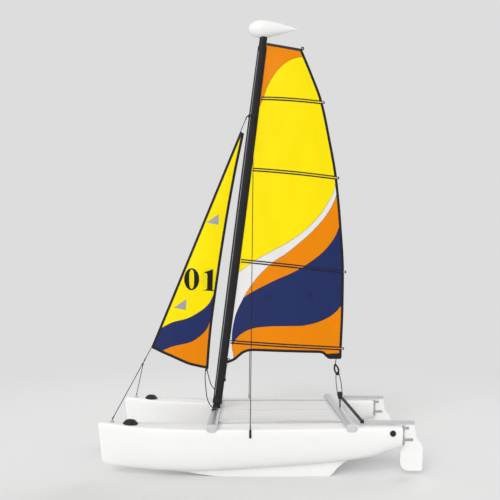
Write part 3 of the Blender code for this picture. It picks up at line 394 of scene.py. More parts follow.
def rope_material(name, base):
    """Braided rope: slanting strands that cross, with a dusty drift of tone."""
    made, tree, shader, place = new_material(name, 0.75)
    strands = waves(tree, place, 150.0, ["DIAGONAL"], 1.5)[0]
    tinted(tree, shader, base, between(tree, strands, 0.0, 1.0), 0.72)
    bumped(tree, shader, strands, 0.4, 0.0008)
    return made


MATERIALS = {
    "shell": moulded_material("white_shell", WHITE, 0.30),
    "float": moulded_material("float_shell", (0.83, 0.83, 0.82), 0.26),
    "blade": moulded_material("blade_shell", (0.83, 0.83, 0.82), 0.28),
    "black": moulded_material("black_moulding", DARK, 0.50, 1.4, 0.20),
    "grey": moulded_material("grey_moulding", (0.60, 0.61, 0.62), 0.50, 0.9),
    "mast": metal_material("black_anodised", DARK, 0.50, 0.0, (90.0, 90.0, 1.0), 0.15),
    "beam": metal_material("satin_aluminium", (0.66, 0.67, 0.68), 0.34, 0.75, (90.0, 1.0, 90.0)),
    "tiller": metal_material("tiller_aluminium", (0.66, 0.67, 0.68), 0.34, 0.75),
    "steel": metal_material("stainless", (0.50, 0.51, 0.52), 0.30, 0.9),
    "wire": metal_material("coated_wire", DARK, 0.50, 0.0, (20.0, 20.0, 20.0), 0.1),
    "yellow": cloth_material("cloth_yellow", YELLOW),
    "orange": cloth_material("cloth_orange", ORANGE),
    "navy": cloth_material("cloth_navy", NAVY, through=0.10),
    "white": cloth_material("cloth_white", WHITE),
    "tape": cloth_material("edge_tape", DARK, through=0.02),
    "ink": cloth_material("number_cloth", (0.010, 0.010, 0.011), through=0.0),
    "window": moulded_material("window_film", WINDOW, 0.22, 0.93),
    "deck": mesh_cloth_material("deck_cloth", (0.82, 0.82, 0.81)),
    "webbing": cloth_material("hem_webbing", (0.62, 0.62, 0.62), 500.0, 0.0),
    "rope": rope_material("dark_rope", (0.028, 0.027, 0.030)),
    "pale_rope": rope_material("grey_rope", (0.42, 0.42, 0.43)),
}


# Mesh helpers

def add_piece(name, made, materials, body):
    """Named object from a bmesh that rides on a body, smooth where it is round."""
    bmesh.ops.recalc_face_normals(made, faces=made.faces)
    mesh = bpy.data.meshes.new(name)
    made.to_mesh(mesh)
    made.free()
    for key in materials:
        mesh.materials.append(MATERIALS[key])
    mesh.shade_smooth()
    mesh.set_sharp_from_angle(angle=SHARP_PIECE)
    piece = bpy.data.objects.new(name, mesh)
    bpy.context.scene.collection.objects.link(piece)
    if body is not None:
        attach(piece, body)
    return piece


def joined(parts):
    """One bmesh from several, each kept as it is."""
    whole = bmesh.new()
    for part in parts:
        mesh = bpy.data.meshes.new("part")
        part.to_mesh(mesh)
        part.free()
        whole.from_mesh(mesh)
        bpy.data.meshes.remove(mesh)
    return whole


def loft(rings, closed=False):
    """Closed skin through rings of equal length, capped unless the row of rings closes."""
    made = bmesh.new()
    rows = [[made.verts.new(point) for point in ring] for ring in rings]
    if closed:
        rows.append(rows[0])
    count = len(rows[0])
    for low, high in zip(rows, rows[1:]):
        for i in range(count):
            j = (i + 1) % count
            made.faces.new((low[i], low[j], high[j], high[i]))
    if not closed:
        made.faces.new(rows[0])
        made.faces.new(rows[-1])
    return made


def full_turn(count):
    """Angles all round, in equal steps."""
    return [2.0 * math.pi * i / count for i in range(count)]


def tube(points, radius, sides=8, closed=False):
    """Round rope or wire through points, without twist, with one radius or one a point."""
    path = [Vector(point) for point in points]
    radii = radius if isinstance(radius, list) else [radius] * len(path)
    rings = []
    across = None
    for i, point in enumerate(path):
        before = path[i - 1] if i or closed else path[0]
        after = path[(i + 1) % len(path)] if i + 1 < len(path) or closed else path[-1]
        along = (after - before).normalized()
        if across is None:
            across = along.orthogonal().normalized()
        across = (across - along * across.dot(along)).normalized()
        up = along.cross(across)
        rings.append([point + across * (radii[i] * math.cos(a)) + up * (radii[i] * math.sin(a))
                      for a in full_turn(sides)])
    return loft(rings, closed)


def curve_points(points, step):
    """Points about a step apart on a smooth curve through the given ones."""
    path = [Vector(point) for point in points]
    path = [path[0] * 2.0 - path[1]] + path + [path[-1] * 2.0 - path[-2]]
    found = []
    for a, b, c, d in zip(path, path[1:], path[2:], path[3:]):
        count = max(1, round((c - b).length / step))
        for i in range(count):
            t = i / count
            found.append(0.5 * (2.0 * b + (c - a) * t + (2.0 * a - 5.0 * b + 4.0 * c - d) * t ** 2
                                + (3.0 * b - 3.0 * c + d - a) * t ** 3))
    return found + [path[-2]]


def rounded_box(low, high, radius):
    made = bmesh.new()
    bmesh.ops.create_cube(made, size=1.0)
    size = [b - a for a, b in zip(low, high)]
    middle = [(a + b) / 2.0 for a, b in zip(low, high)]
    bmesh.ops.scale(made, vec=size, verts=made.verts)
    bmesh.ops.translate(made, vec=middle, verts=made.verts)
    bmesh.ops.bevel(made, geom=list(made.edges), offset=radius, segments=2, affect="EDGES",
                    profile=0.5)
    return made


def oval(centre, radii, count=40, power=1.0):
    """Oval of (x, z) points, squarer with a lower power."""
    found = []
    for a in full_turn(count):
        c = math.cos(a)
        s = math.sin(a)
        found.append((centre[0] + radii[0] * math.copysign(abs(c) ** power, c),
                      centre[1] + radii[1] * math.copysign(abs(s) ** power, s)))
    return found


def open_plate(outer, inner, depths, middle):
    """Plate between two outlines of as many (x, z) points, open inside the inner one."""
    made = bmesh.new()
    rings = []
    for outline in (outer, inner):
        for depth in depths:
            rings.append([made.verts.new((x, middle(x, z) + depth, z)) for x, z in outline])
    order = (0, 1, 3, 2)
    for a, b in zip(order, order[1:] + order[:1]):
        for i in range(len(outer)):
            j = (i + 1) % len(outer)
            made.faces.new((rings[a][i], rings[a][j], rings[b][j], rings[b][i]))
    return made


def ring_points(centre, first, second, count):
    """Points round an oval about a centre, from its two half axes."""
    return [centre + first * math.cos(a) + second * math.sin(a) for a in full_turn(count)]


def smooth_line(points):
    """Function of a smooth line through (u, v) points that never overshoots them."""
    points = sorted(points)
    slopes = [(v1 - v0) / (u1 - u0) for (u0, v0), (u1, v1) in zip(points, points[1:])]
    tangents = [slopes[0]]
    for before, after in zip(slopes, slopes[1:]):
        product = before * after
        tangents.append(2.0 * product / (before + after) if product > 0.0 else 0.0)
    tangents.append(slopes[-1])

    def value(u):
        if u <= points[0][0]:
            return points[0][1] + (u - points[0][0]) * tangents[0]
        if u >= points[-1][0]:
            return points[-1][1] + (u - points[-1][0]) * tangents[-1]
        i = next(k for k in range(len(slopes)) if u <= points[k + 1][0])
        (u0, v0), (u1, v1) = points[i], points[i + 1]
        run = u1 - u0
        t = (u - u0) / run
        return ((2 * t ** 3 - 3 * t ** 2 + 1) * v0 + (t ** 3 - 2 * t ** 2 + t) * run * tangents[i]
                + (3 * t ** 2 - 2 * t ** 3) * v1 + (t ** 3 - t ** 2) * run * tangents[i + 1])

    return value


def inside(outline, x, z):
    """Whether a point lies in a closed outline of (x, z) points."""
    within = False
    for (x0, z0), (x1, z1) in zip(outline, outline[1:] + outline[:1]):
        if (z0 > z) != (z1 > z) and x < (x1 - x0) * (z - z0) / (z1 - z0) + x0:
            within = not within
    return within


# Places on CAD pieces

def tree_of(node):
    mesh = frame["nodes"][node].data
    return BVHTree.FromPolygons([v.co for v in mesh.vertices],
                                [p.vertices for p in mesh.polygons])


MAST = tree_of("mast")
FORESTAY = tree_of("forestay")


def aft_face(tree, z, side):
    """How far aft a piece reaches at a height."""
    hit = tree.ray_cast(Vector((-1.5, side, z)), Vector((1.0, 0.0, 0.0)))[0]
    return hit.x if hit else 0.0


def mast_aft(z):
    return aft_face(MAST, z, GROOVE_SIDE)


def forestay_aft(z):
    return aft_face(FORESTAY, z, 0.0)


# Sails

class Sail:
    """Cambered surface between a luff and a leech."""

    def __init__(self, luff, rows, leech, seed, head_flat=0.0):
        self.luff = luff
        self.head_flat = head_flat
        self.leech = smooth_line([(z, x) for x, z in leech])
        self.across = smooth_line(rows)
        self.low = rows[0]
        self.high = rows[-1]
        self.seed = seed

    def row_ends(self, height):
        leech_z = self.across(height)
        return (self.luff(height), height), (self.leech(leech_z), leech_z)

    def middle(self, x, z):
        """How far the cloth stands out to port."""
        height = z
        for _ in range(5):
            (x0, z0), (x1, z1) = self.row_ends(height)
            share = (x0 - x) / (x0 - x1) if x0 - x1 > 0.01 else 0.5
            share = min(1.0, max(0.0, share))
            height += z - (z0 + (z1 - z0) * share)
        chord = math.hypot(x1 - x0, z1 - z0)
        fullness = 4.0 * share * (1.0 - share)
        if self.head_flat:
            below = min(1.0, max(0.0, (self.high[0] - height) / self.head_flat))
            fullness *= below * (2.0 - below)
        belly = CAMBER * chord * fullness * (BELLY[0] + (BELLY[1] - BELLY[0]) * share)
        soft = noise.noise(Vector((x * 2.2, z * 1.1, self.seed)))
        fine = noise.noise(Vector((x * 5.0 + z * 1.5, z * 6.0, self.seed + 9.0)))
        return belly + WRINKLE * fullness * (soft + 0.5 * fine)

    def row(self, height, step, start):
        """Points along the row that starts at a height of the luff, the first one behind it."""
        (x0, z0), (x1, z1) = self.row_ends(height)
        first = Vector((x0, z0))
        along = Vector((x1, z1)) - first
        run = along.length - start
        along.normalize()
        count = round(run / step)
        return [tuple(first + along * (start + run * i / count)) for i in range(count + 1)]

    def edge(self, line, end, step):
        """Points up the luff (end 0) or the leech (end 1)."""
        low = self.low[end]
        high = self.high[end]
        count = round((high - low) / step)
        heights = [low + (high - low) * i / count for i in range(count + 1)]
        return [(line(z), z) for z in heights]

    def edges(self, tack, foot, tucked=0.0):
        """Paths along the foot, the leech and the luff, which may be tucked into the mast."""
        leech = self.edge(self.leech, 1, LEECH_STEP)
        foot = [tuple(p) for p in curve_points([tack] + foot + [leech[0]], FOOT_STEP)]
        luff = [(x + tucked, z) for x, z in self.edge(self.luff, 0, LUFF_STEP)]
        return foot, leech, luff


def border_edges(points, upright):
    """A colour border as a function of whichever way it runs, and as a dense line."""
    key = [(z, x) for x, z in points] if upright else points
    line = smooth_line(key)
    low = min(key)[0]
    high = max(key)[0]
    count = 2 * round((high - low) / BORDER_STEP)
    dense = []
    for i in range(count + 1):
        u = low + (high - low) * i / count
        dense.append((line(u), u) if upright else (u, line(u)))
    return line, dense


def free_points(outline, step, fixed):
    """Staggered grid of points inside an outline, none of them close to a fixed one."""
    fixed = np.array([tuple(p) for p in fixed])
    low = np.array(outline).min(0)
    high = np.array(outline).max(0)
    found = []
    for i in range(int((high[0] - low[0]) / step) + 1):
        for k in range(int((high[1] - low[1]) / step) + 1):
            x = low[0] + step * (i + 0.5 * (k % 2))
            z = low[1] + step * k
            near = np.hypot(*(fixed - (x, z)).T).min()
            if near > step * 0.45 and inside(outline, x, z):
                found.append(Vector((x, z)))
    return found


def sheet_mesh(sail, outline, borders, step, depths, index_of):
    """Thin closed solid between two depths on a sail, its faces cut along the borders."""
    points = [Vector(p) for p in outline]
    edges = [(i, (i + 1) % len(points)) for i in range(len(points))]
    for border in borders:
        edges += [(len(points) + i, len(points) + i + 1) for i in range(len(border) - 1)]
        points += [Vector(p) for p in border]
    points += free_points(outline, step, points)
    verts, _, faces = delaunay_2d_cdt(points, edges, [], 0, 1e-6)[:3]
    kept = []
    for face in faces:
        x = sum(verts[i].x for i in face) / 3.0
        z = sum(verts[i].y for i in face) / 3.0
        if inside(outline, x, z):
            kept.append((face, index_of(x, z)))
    made = bmesh.new()
    used = sorted({i for face, _ in kept for i in face})
    middles = {i: sail.middle(*verts[i]) for i in used}
    skins = [{i: made.verts.new((verts[i].x, middles[i] + depth, verts[i].y)) for i in used}
             for depth in depths]
    rim = {}
    for face, index in kept:
        for skin in skins:
            made.faces.new([skin[i] for i in face]).material_index = index
        for a, b in zip(face, face[1:] + face[:1]):
            if (b, a) in rim:
                del rim[(b, a)]
            else:
                rim[(a, b)] = index
    for (a, b), index in rim.items():
        side = made.faces.new((skins[0][a], skins[0][b], skins[1][b], skins[1][a]))
        side.material_index = index
    return made


def cloth_sheet(name, sail, outline, borders, colour_of, materials, body):
    """The sail's cloth, its faces coloured by the panel that they lie in."""
    made = sheet_mesh(sail, outline, borders, GRID, (CLOTH_HALF, -CLOTH_HALF),
                      lambda x, z: materials.index(colour_of(x, z)))
    cloth = add_piece(name + "_cloth", made, materials, body)
    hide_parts(name)
    return cloth


def on_sail(sail, path, section, colour_of=None, materials=(), closed=False):
    """Solid whose section of (across, out) points follows a path on a sail."""
    rings = []
    last = len(path) - 1
    for i, (x, z) in enumerate(path):
        before = path[i - 1] if i or closed else path[0]
        after = path[(i + 1) % len(path)] if i < last or closed else path[last]
        run = math.hypot(after[0] - before[0], after[1] - before[1])
        side = ((before[1] - after[1]) / run, (after[0] - before[0]) / run)
        ring = []
        for across, out in section:
            px = x + side[0] * across
            pz = z + side[1] * across
            ring.append((px, sail.middle(px, pz) + out, pz))
        rings.append(ring)
    made = loft(rings, closed)
    if colour_of is not None:
        for face in made.faces:
            centre = face.calc_center_median()
            face.material_index = materials.index(colour_of(centre.x, centre.z))
    return made


def flat_section(half, thickness, side):
    """Flat strip on one side of the cloth, as wide as twice its half."""
    near = side * BURIED
    far = side * (BURIED + thickness)
    return [(-half, near), (half, near), (half, far), (-half, far)]


def wrapped_section(inner, outer):
    """Tape folded round an edge: inner on the cloth, outer just past it."""
    out = CLOTH_HALF + TAPE_LIFT
    return [(inner, out), (outer * 0.5, out), (outer, 0.0), (outer * 0.5, -out), (inner, -out)]


def rounded_join(foot, leech, cut):
    """One path from two that meet, their corner cut short and rounded."""
    corner = Vector(leech[0])
    start = corner + (Vector(foot[-2]) - corner).normalized() * cut
    end = corner + (Vector(leech[1]) - corner).normalized() * cut
    turn = []
    for t in (0.0, 0.25, 0.5, 0.75, 1.0):
        turn.append(tuple(start.lerp(corner, t).lerp(corner.lerp(end, t), t)))
    return foot[:-1] + turn + leech[1:]


def drawn_out(path, reach):
    """The path, longer by a straight reach at its far end."""
    end = Vector(path[-1])
    along = (end - Vector(path[-2])).normalized()
    return path + [tuple(end + along * reach)]


def straight(start, end):
    """Path of 12 steps between two places."""
    return [tuple(Vector(start).lerp(Vector(end), i / 12)) for i in range(13)]


def dense_outline(points):
    """Outline with its straight sides cut into short steps."""
    found = []
    for a, b in zip(points, points[1:] + points[:1]):
        a = Vector(a)
        b = Vector(b)
        count = max(1, round((b - a).length / PATCH_STEP))
        found += [tuple(a.lerp(b, i / count)) for i in range(count)]
    return found


def patch(sail, outline, thickness, sides=SIDES.values()):
    """Flat patches of cloth on the sides of a sail, from an outline of (x, z) points."""
    return [sheet_mesh(sail, dense_outline(outline), [], PATCH_GRID,
                       (side * BURIED, side * (BURIED + thickness)), lambda x, z: 0)
            for side in sides]


def panel_area(outline):
    pairs = zip(outline, outline[1:] + outline[:1])
    return abs(sum(x0 * z1 - x1 * z0 for (x0, z0), (x1, z1) in pairs)) / 2.0


def panel_colours(panels):
    """Colour of a place on a sail, and its colour borders as dense lines.

    A panel lies above its border, or ahead of an upright one.
    """
    rules = [(name, upright, *border_edges(points, upright)) for name, points, upright in panels]

    def colour_of(x, z):
        for name, upright, line, _ in rules:
            if x > line(z) if upright else z > line(x):
                return name
        return LOWEST_PANEL

    return colour_of, [dense for _, _, _, dense in rules]


def border_seams(sail, outline, borders):
    """Thin stitched lines along the colour borders, on both sides of the cloth."""
    parts = []
    for border in borders:
        path = [p for p in border if inside(outline, *p)]
        for side in SIDES.values():
            parts.append(on_sail(sail, path, flat_section(*BORDER_SEAM, side)))
    return joined(parts)


# Mainsail

def make_mainsail():
    sail = Sail(mast_aft, MAIN_ROWS, MAIN_LEECH, 3.0, HEAD_FLAT)
    tack_z = MAIN_ROWS[0][0]
    head_z = MAIN_ROWS[-1][0]
    tack = (mast_aft(tack_z) + TACK_INSIDE, tack_z)
    foot, leech, luff = sail.edges(tack, MAIN_FOOT, LUFF_INSIDE)
    head = straight(leech[-1], (mast_aft(head_z), head_z))
    outline = foot + leech[1:] + head[1:] + luff[::-1][:-1]
    colour_of, borders = panel_colours(MAIN_PANELS)
    materials = ["yellow", "white", "orange", "navy"]
    cloth = cloth_sheet("mainsail", sail, outline, borders, colour_of, materials, "rig")
    tape = on_sail(sail, rounded_join(foot, leech, CORNER_ROUND),
                   wrapped_section(-TAPE_INSIDE, TAPE_OUTSIDE))
    edge = add_piece("mainsail_edge_tape", tape, ["tape"], "rig")
    corner = joined(patch(sail, CLEW_PATCH, CLEW_PATCH_THICKNESS))
    clew = add_piece("mainsail_clew_patch", corner, ["tape"], "rig")
    seams = add_piece("mainsail_border_seams", border_seams(sail, outline, borders), ["tape"],
                      "rig")
    panel_area(outline)
    make_battens(sail, colour_of, materials)
    make_head(sail)
    make_eyelets(sail)


def make_battens(sail, colour_of, materials):
    """Pockets on both sides of the sail with their seams, in place of the battens."""
    half = POCKET_WIDTH / 2.0
    bulge = [(half * a, POCKET_RISE * (1.0 - a * a)) for a in (-1.0, -0.6, 0.0, 0.6, 1.0)]
    for number, height in enumerate(BATTEN_HEIGHTS, 1):
        path = sail.row(height, BATTEN_STEP, BATTEN_START)
        pockets = []
        seams = []
        for side in SIDES.values():
            base = side * BURIED
            section = [(a, side * (CLOTH_HALF + out)) for a, out in bulge] + [(0.0, base)]
            pockets.append(on_sail(sail, path, section, colour_of, materials))
            for edge in (-1.0, 1.0):
                inner = edge * (half - SEAM_INSIDE)
                outer = edge * (half + SEAM_OUTSIDE)
                strip = [(inner, base), (outer, base), (outer, side * (CLOTH_HALF + SEAM_RISE[1])),
                         (inner, side * (CLOTH_HALF + POCKET_RISE + SEAM_RISE[0]))]
                seams.append(on_sail(sail, path, strip))
        pocket = add_piece(f"batten_pocket_{number}", joined(pockets), materials, "rig")
        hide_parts(f"batten_{number}")
        add_piece(f"batten_seams_{number}", joined(seams), ["tape"], "rig")
        make_batten_end(sail, path, number)


def make_batten_end(sail, path, number):
    """Cap on the aft end of a batten, and the plug in it."""
    end = Vector(path[-1])
    along = (end - Vector(path[-4])).normalized()
    tip = end + along * BATTEN_CAP[1][0]
    place = Matrix.Translation((tip.x, sail.middle(*end), tip.y))
    turn = Matrix.Rotation(math.atan2(-along.y, -along.x), 4, "Y")
    cap = rounded_box(*BATTEN_CAP, 0.004)
    plug = rounded_box(*CAP_PLUG, 0.001)
    for name, made, material in (("cap", cap, "black"), ("plug", plug, "grey")):
        bmesh.ops.transform(made, matrix=place @ turn, verts=made.verts)
        add_piece(f"batten_{name}_{number}", made, [material], "rig")


def make_head(sail):
    """Headboard along the top of the sail, with an eye at its aft corner."""
    (x0, z0), (x1, z1) = sail.row_ends(MAIN_ROWS[-1][0])
    board = on_sail(sail, straight((x0 - BOARD_INSET, z0), (x1, z1)), HEAD_SECTION)
    cover = add_piece("headboard_cover", board, ["black"], "rig")
    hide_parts("headboard")
    centre = Vector((x1 + HEAD_EYE_REACH[0], sail.middle(x1, z1), z1 + HEAD_EYE_REACH[1]))
    ring = ring_points(centre, Vector((HEAD_EYE[0], 0.0, 0.0)), Vector((0.0, 0.0, HEAD_EYE[1])),
                       24)
    eye = tube(ring, HEAD_EYE_WIRE, 10, closed=True)
    add_piece("head_eye", eye, ["black"], "rig")


def leaned(outline):
    """The outline turned about the link's centre, its foot going aft."""
    turn = Matrix.Rotation(math.radians(-LINK_LEAN), 2)
    centre = Vector(LINK_CENTRE)
    return [tuple(centre + turn @ (Vector(point) - centre)) for point in outline]


def sheave(centre):
    """Grooved wheel about Y for the sheet."""
    lip = LINK_SHEAVE + SHEAVE_LIP
    section = [(SHEAVE_BORE, -SHEAVE_HALF), (lip, -SHEAVE_HALF), (LINK_SHEAVE, 0.0),
               (lip, SHEAVE_HALF), (SHEAVE_BORE, SHEAVE_HALF)]
    rings = [[centre + Vector((r * math.cos(a), y, r * math.sin(a))) for r, y in section]
             for a in full_turn(32)]
    return loft(rings, closed=True)


def make_link():
    """Two open cheeks, a wheel between them for the sheet, and its strap to the clew."""
    outer = leaned(oval(LINK_CENTRE, LINK_OUTER, power=1.25))
    inner = leaned(oval(LINK_CENTRE, LINK_INNER, power=1.15))
    parts = [open_plate(outer, inner, [side * y for y in LINK_CHEEKS], lambda x, z: 0.0)
             for side in SIDES.values()]
    middle, up = LINK_CENTRE
    foot, head = leaned([(middle, up - LINK_PINS[0]), (middle, up + LINK_PINS[1])])
    wheel = Vector((foot[0], 0.0, foot[1]))
    parts.append(sheave(wheel))
    pin = LINK_CHEEKS[1] + PIN_END
    for x, z in (foot, head):
        parts.append(tube([(x, -pin, z), (x, pin, z)], LINK_PIN, 14))
    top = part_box("mainsheet_block_upper")[1].z
    eye = (head[0] + STRAP_EYE[0], 0.0, top + STRAP_EYE[1])
    parts.append(tube([(head[0], 0.0, head[1]), eye], LINK_STRAP, 12))
    link = add_piece("clew_link", joined(parts), ["black"], "rig")
    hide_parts("mainsheet_block_upper")
    return wheel


def rings_on_sail(sail, centres, radius, width, thickness):
    """Flat ring on both sides of a sail at each centre."""
    made = []
    for x, z in centres:
        for side in SIDES.values():
            path = oval((x, z), (radius, radius), 28)
            section = flat_section(width / 2.0, thickness, side)
            made.append(on_sail(sail, path, section, closed=True))
    return joined(made)


def make_eyelets(sail):
    """Two stitched rings low on the sail, and pressed eyes at its corners."""
    rings = rings_on_sail(sail, STITCHED_RINGS, *STITCHED_RING)
    add_piece("stitched_rings", rings, ["tape"], "rig")
    eyes = rings_on_sail(sail, CORNER_EYES, *CORNER_EYE)
    add_piece("corner_eyes", eyes, ["black"], "rig")


# Jib

def zero_on(sail, centre, side):
    """Figure nought: a fat oval with a narrow opening."""
    outer = oval(centre, ZERO_OUTER)
    inner = oval(centre, ZERO_INNER, power=0.75)
    depths = (side * BURIED, side * (CLOTH_HALF + ZERO_RISE))
    return open_plate(outer, inner, depths, sail.middle)


def jib_tapes(sail, foot, leech, luff):
    """Tapes round the jib's edges, and the dark cloth at its head."""
    wrapped = wrapped_section(-TAPE_INSIDE, TAPE_OUTSIDE)
    tapes = [on_sail(sail, drawn_out(foot, TAPE_OUTSIDE), wrapped), on_sail(sail, leech, wrapped),
             on_sail(sail, luff, wrapped_section(LUFF_TAPE, 0.0))]
    luff_end, leech_end = sail.row_ends(JIB_ROWS[-1][0])
    low = luff_end[1] - JIB_HEAD_PATCH
    aft = leech_end[1] - JIB_HEAD_PATCH
    head = [(sail.luff(low), low), (sail.leech(aft), aft), leech_end, luff_end]
    return joined(tapes + patch(sail, head, HEAD_PATCH_THICKNESS))


def jib_figures(sail):
    """The sail number, which reads the same way round on both sides."""
    figures = []
    for side in SIDES.values():
        one = ONE_OUTLINE
        centre = ZERO_CENTRE
        if side < 0.0:
            one = [(FIGURE_TURN - x, z) for x, z in one]
            centre = (FIGURE_TURN - centre[0], centre[1])
        figures += [zero_on(sail, centre, side)] + patch(sail, one, FIGURE_THICKNESS, [side])
    return joined(figures)


def make_jib():
    sail = Sail(forestay_aft, JIB_ROWS, JIB_LEECH, 5.0)
    tack_z = JIB_ROWS[0][0]
    foot, leech, luff = sail.edges((forestay_aft(tack_z), tack_z), JIB_FOOT)
    outline = foot + leech[1:] + luff[::-1][:-1]
    colour_of, borders = panel_colours(JIB_PANELS)
    cloth = cloth_sheet("jib", sail, outline, borders, colour_of, ["yellow", "navy", "orange"],
                        "platform")
    edge = add_piece("jib_edge_tape", jib_tapes(sail, foot, leech, luff), ["tape"], "platform")
    windows = [part for window in JIB_WINDOWS for part in patch(sail, window, WINDOW_THICKNESS)]
    film = add_piece("jib_windows", joined(windows), ["window"], "platform")
    seams = add_piece("jib_border_seams", border_seams(sail, outline, borders), ["tape"],
                      "platform")
    figures = add_piece("jib_figures", jib_figures(sail), ["ink"], "platform")
    panel_area(outline)
    return sail


# Carried-over nodes

def finish_node(name, material, edge):
    """Material, rounded edges and smooth shading on a node of the frame."""
    node = frame["nodes"][name]
    mesh = node.data
    if "custom_normal" in mesh.attributes:
        mesh.attributes.remove(mesh.attributes["custom_normal"])
    mesh.materials.clear()
    mesh.materials.append(MATERIALS[material])
    mesh.polygons.foreach_set("use_smooth", [True] * len(mesh.polygons))
    weld = node.modifiers.new("weld", "WELD")
    weld.merge_threshold = 0.00002
    if edge:
        bevel = node.modifiers.new("round_edges", "BEVEL")
        bevel.width = edge
        bevel.segments = 2
        bevel.limit_method = "ANGLE"
        bevel.angle_limit = SHARP_NODE
    split = node.modifiers.new("crisp_edges", "EDGE_SPLIT")
    split.split_angle = SHARP_NODE
    split.use_edge_sharp = False


NODE_FINISHES = {
    "hull": ("shell", 0.0), "hatch_cap": ("black", 0.0), "drain_plug": ("black", 0.0),
    "front_beam": ("beam", 0.0), "rear_beam": ("beam", 0.0), "front_beam_cap": ("grey", 0.0015),
    "rear_beam_cap": ("grey", 0.0015), "trampoline_rail": ("beam", 0.0008),
    "mast_step": ("mast", 0.0), "stay_bail": ("mast", 0.001), "forestay": ("wire", 0.0),
    "bridle_joint": ("steel", 0.0), "bridle_leg": ("wire", 0.0), "bridle_plate": ("steel", 0.0),
    "shroud": ("wire", 0.0), "chainplate": ("black", 0.0),
    "mainsheet_block_lower": ("black", 0.0008), "rudder_rod": ("steel", 0.0006),
    "gudgeon_upper": ("steel", 0.0006), "gudgeon_lower": ("steel", 0.0006), "mast": ("mast", 0.0),
    "mast_foot": ("black", 0.0), "masthead_float": ("float", 0.0), "rudder_blade": ("blade", 0.0),
    "rudder_strap_upper": ("steel", 0.0006), "rudder_strap_lower": ("steel", 0.0006),
    "tiller": ("tiller", 0.0), "tiller_crossbar": ("black", 0.0),
}


def finish_nodes():
    for name in frame["nodes"]:
        key = name
        for side in SIDES:
            key = key.removesuffix("_" + side)
        if key in NODE_FINISHES:
            finish_node(name, *NODE_FINISHES[key])


# Deck cloth

def deck_cloth(low, high, top):
    """Stretched cloth that dips a little between its held edges."""
    columns, rows = DECK_GRID
    ends, sides = DECK_INSET
    half = Vector((0.0, 0.0, DECK_HALF))
    rings = []
    for i in range(columns + 1):
        along = i / columns
        x = low.x + ends + (high.x - low.x - 2.0 * ends) * along
        row = []
        for k in range(rows + 1):
            across = k / rows
            y = low.y + sides + (high.y - low.y - 2.0 * sides) * across
            dip = DECK_DIP * math.sin(math.pi * along) * math.sin(math.pi * across)
            row.append(Vector((x, y, top - dip)))
        rings.append([point + half for point in row] + [point - half for point in reversed(row)])
    return loft(rings)


def make_trampoline():
    """Deck cloth and its sewn hems."""
    low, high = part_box("trampoline")
    top = (low.z + high.z) / 2.0
    cloth = add_piece("trampoline_cloth", deck_cloth(low, high, top), ["deck"], "platform")
    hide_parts("trampoline")

    base = top + HEM_BASE
    face = top + DECK_HALF + HEM_THICKNESS
    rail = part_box("trampoline_rail_port")[0].y - HEM_INSET[1]
    x0 = low.x + HEM_INSET[0]
    x1 = high.x - HEM_INSET[0]
    spans = [((x0, -rail), (x0 + HEM_WIDTH, rail)), ((x1 - HEM_WIDTH, -rail), (x1, rail))]
    for y in (-rail, -HEM_WIDTH / 2.0, rail - HEM_WIDTH):
        spans.append(((x0 + HEM_WIDTH, y), (x1 - HEM_WIDTH, y + HEM_WIDTH)))
    hems = [rounded_box((*a, base), (*b, face), 0.0003) for a, b in spans]
    hem = add_piece("trampoline_hems", joined(hems), ["webbing"], "platform")


# Fittings

def bolt_head(centre, out):
    """Low domed head on a face, with its outward direction."""
    path = [Vector(centre) + Vector(out) * rise for rise, _ in BOLT_DOME]
    return tube(path, [BOLT_RADIUS * share for _, share in BOLT_DOME], 12)


def boxes_of(names, side):
    """Corners and middle of the named pieces on a side."""
    for name in names:
        low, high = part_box(name + "_" + side)
        yield low, high, (low + high) / 2.0


def strap_bolts(side):
    """Bolt heads on both cheeks of the rudder straps."""
    bolts = []
    for low, high, middle in boxes_of(("rudder_strap_upper", "rudder_strap_lower"), side):
        for share in STRAP_BOLTS:
            x = high.x + (low.x - high.x) * share
            bolts += [bolt_head((x, high.y, middle.z), (0.0, 1.0, 0.0)),
                      bolt_head((x, low.y, middle.z), (0.0, -1.0, 0.0))]
    return joined(bolts)


def transom_plates(side):
    """Bolted plates under the gudgeons."""
    plates = []
    wide, tall = PLATE_HALF
    for _, high, middle in boxes_of(("gudgeon_upper", "gudgeon_lower"), side):
        face = high.x - PLATE_THICKNESS
        plates.append(rounded_box((face, middle.y - wide, middle.z - tall),
                                  (high.x, middle.y + wide, middle.z + tall), 0.0009))
        plates += [bolt_head((face, middle.y + reach, middle.z), (-1.0, 0.0, 0.0))
                   for reach in (-PLATE_BOLT, PLATE_BOLT)]
    return joined(plates)


def cap_screws(side):
    """Screw heads on the beams' end caps."""
    screws = []
    sign = SIDES[side]
    for low, high, middle in boxes_of(("front_beam_cap", "rear_beam_cap"), side):
        face = sign * (max(high.y, -low.y) - SCREW_SUNK)
        screws += [bolt_head((middle.x + reach, face, middle.z), (0.0, sign, 0.0))
                   for reach in (-CAP_SCREW, CAP_SCREW)]
    return joined(screws)


def make_bolts():
    for side in SIDES:
        add_piece("strap_bolts_" + side, strap_bolts(side), ["steel"], "rudder_" + side)
        add_piece("transom_plates_" + side, transom_plates(side), ["steel"], "platform")
        add_piece("cap_screws_" + side, cap_screws(side), ["steel"], "platform")


def ring_centre(points, corner):
    """Middle of the wire's end or bend that a corner of its mesh belongs to."""
    near = [p for p in points if (p - corner).length < WIRE_END_REACH]
    return sum(near, Vector()) / len(near)


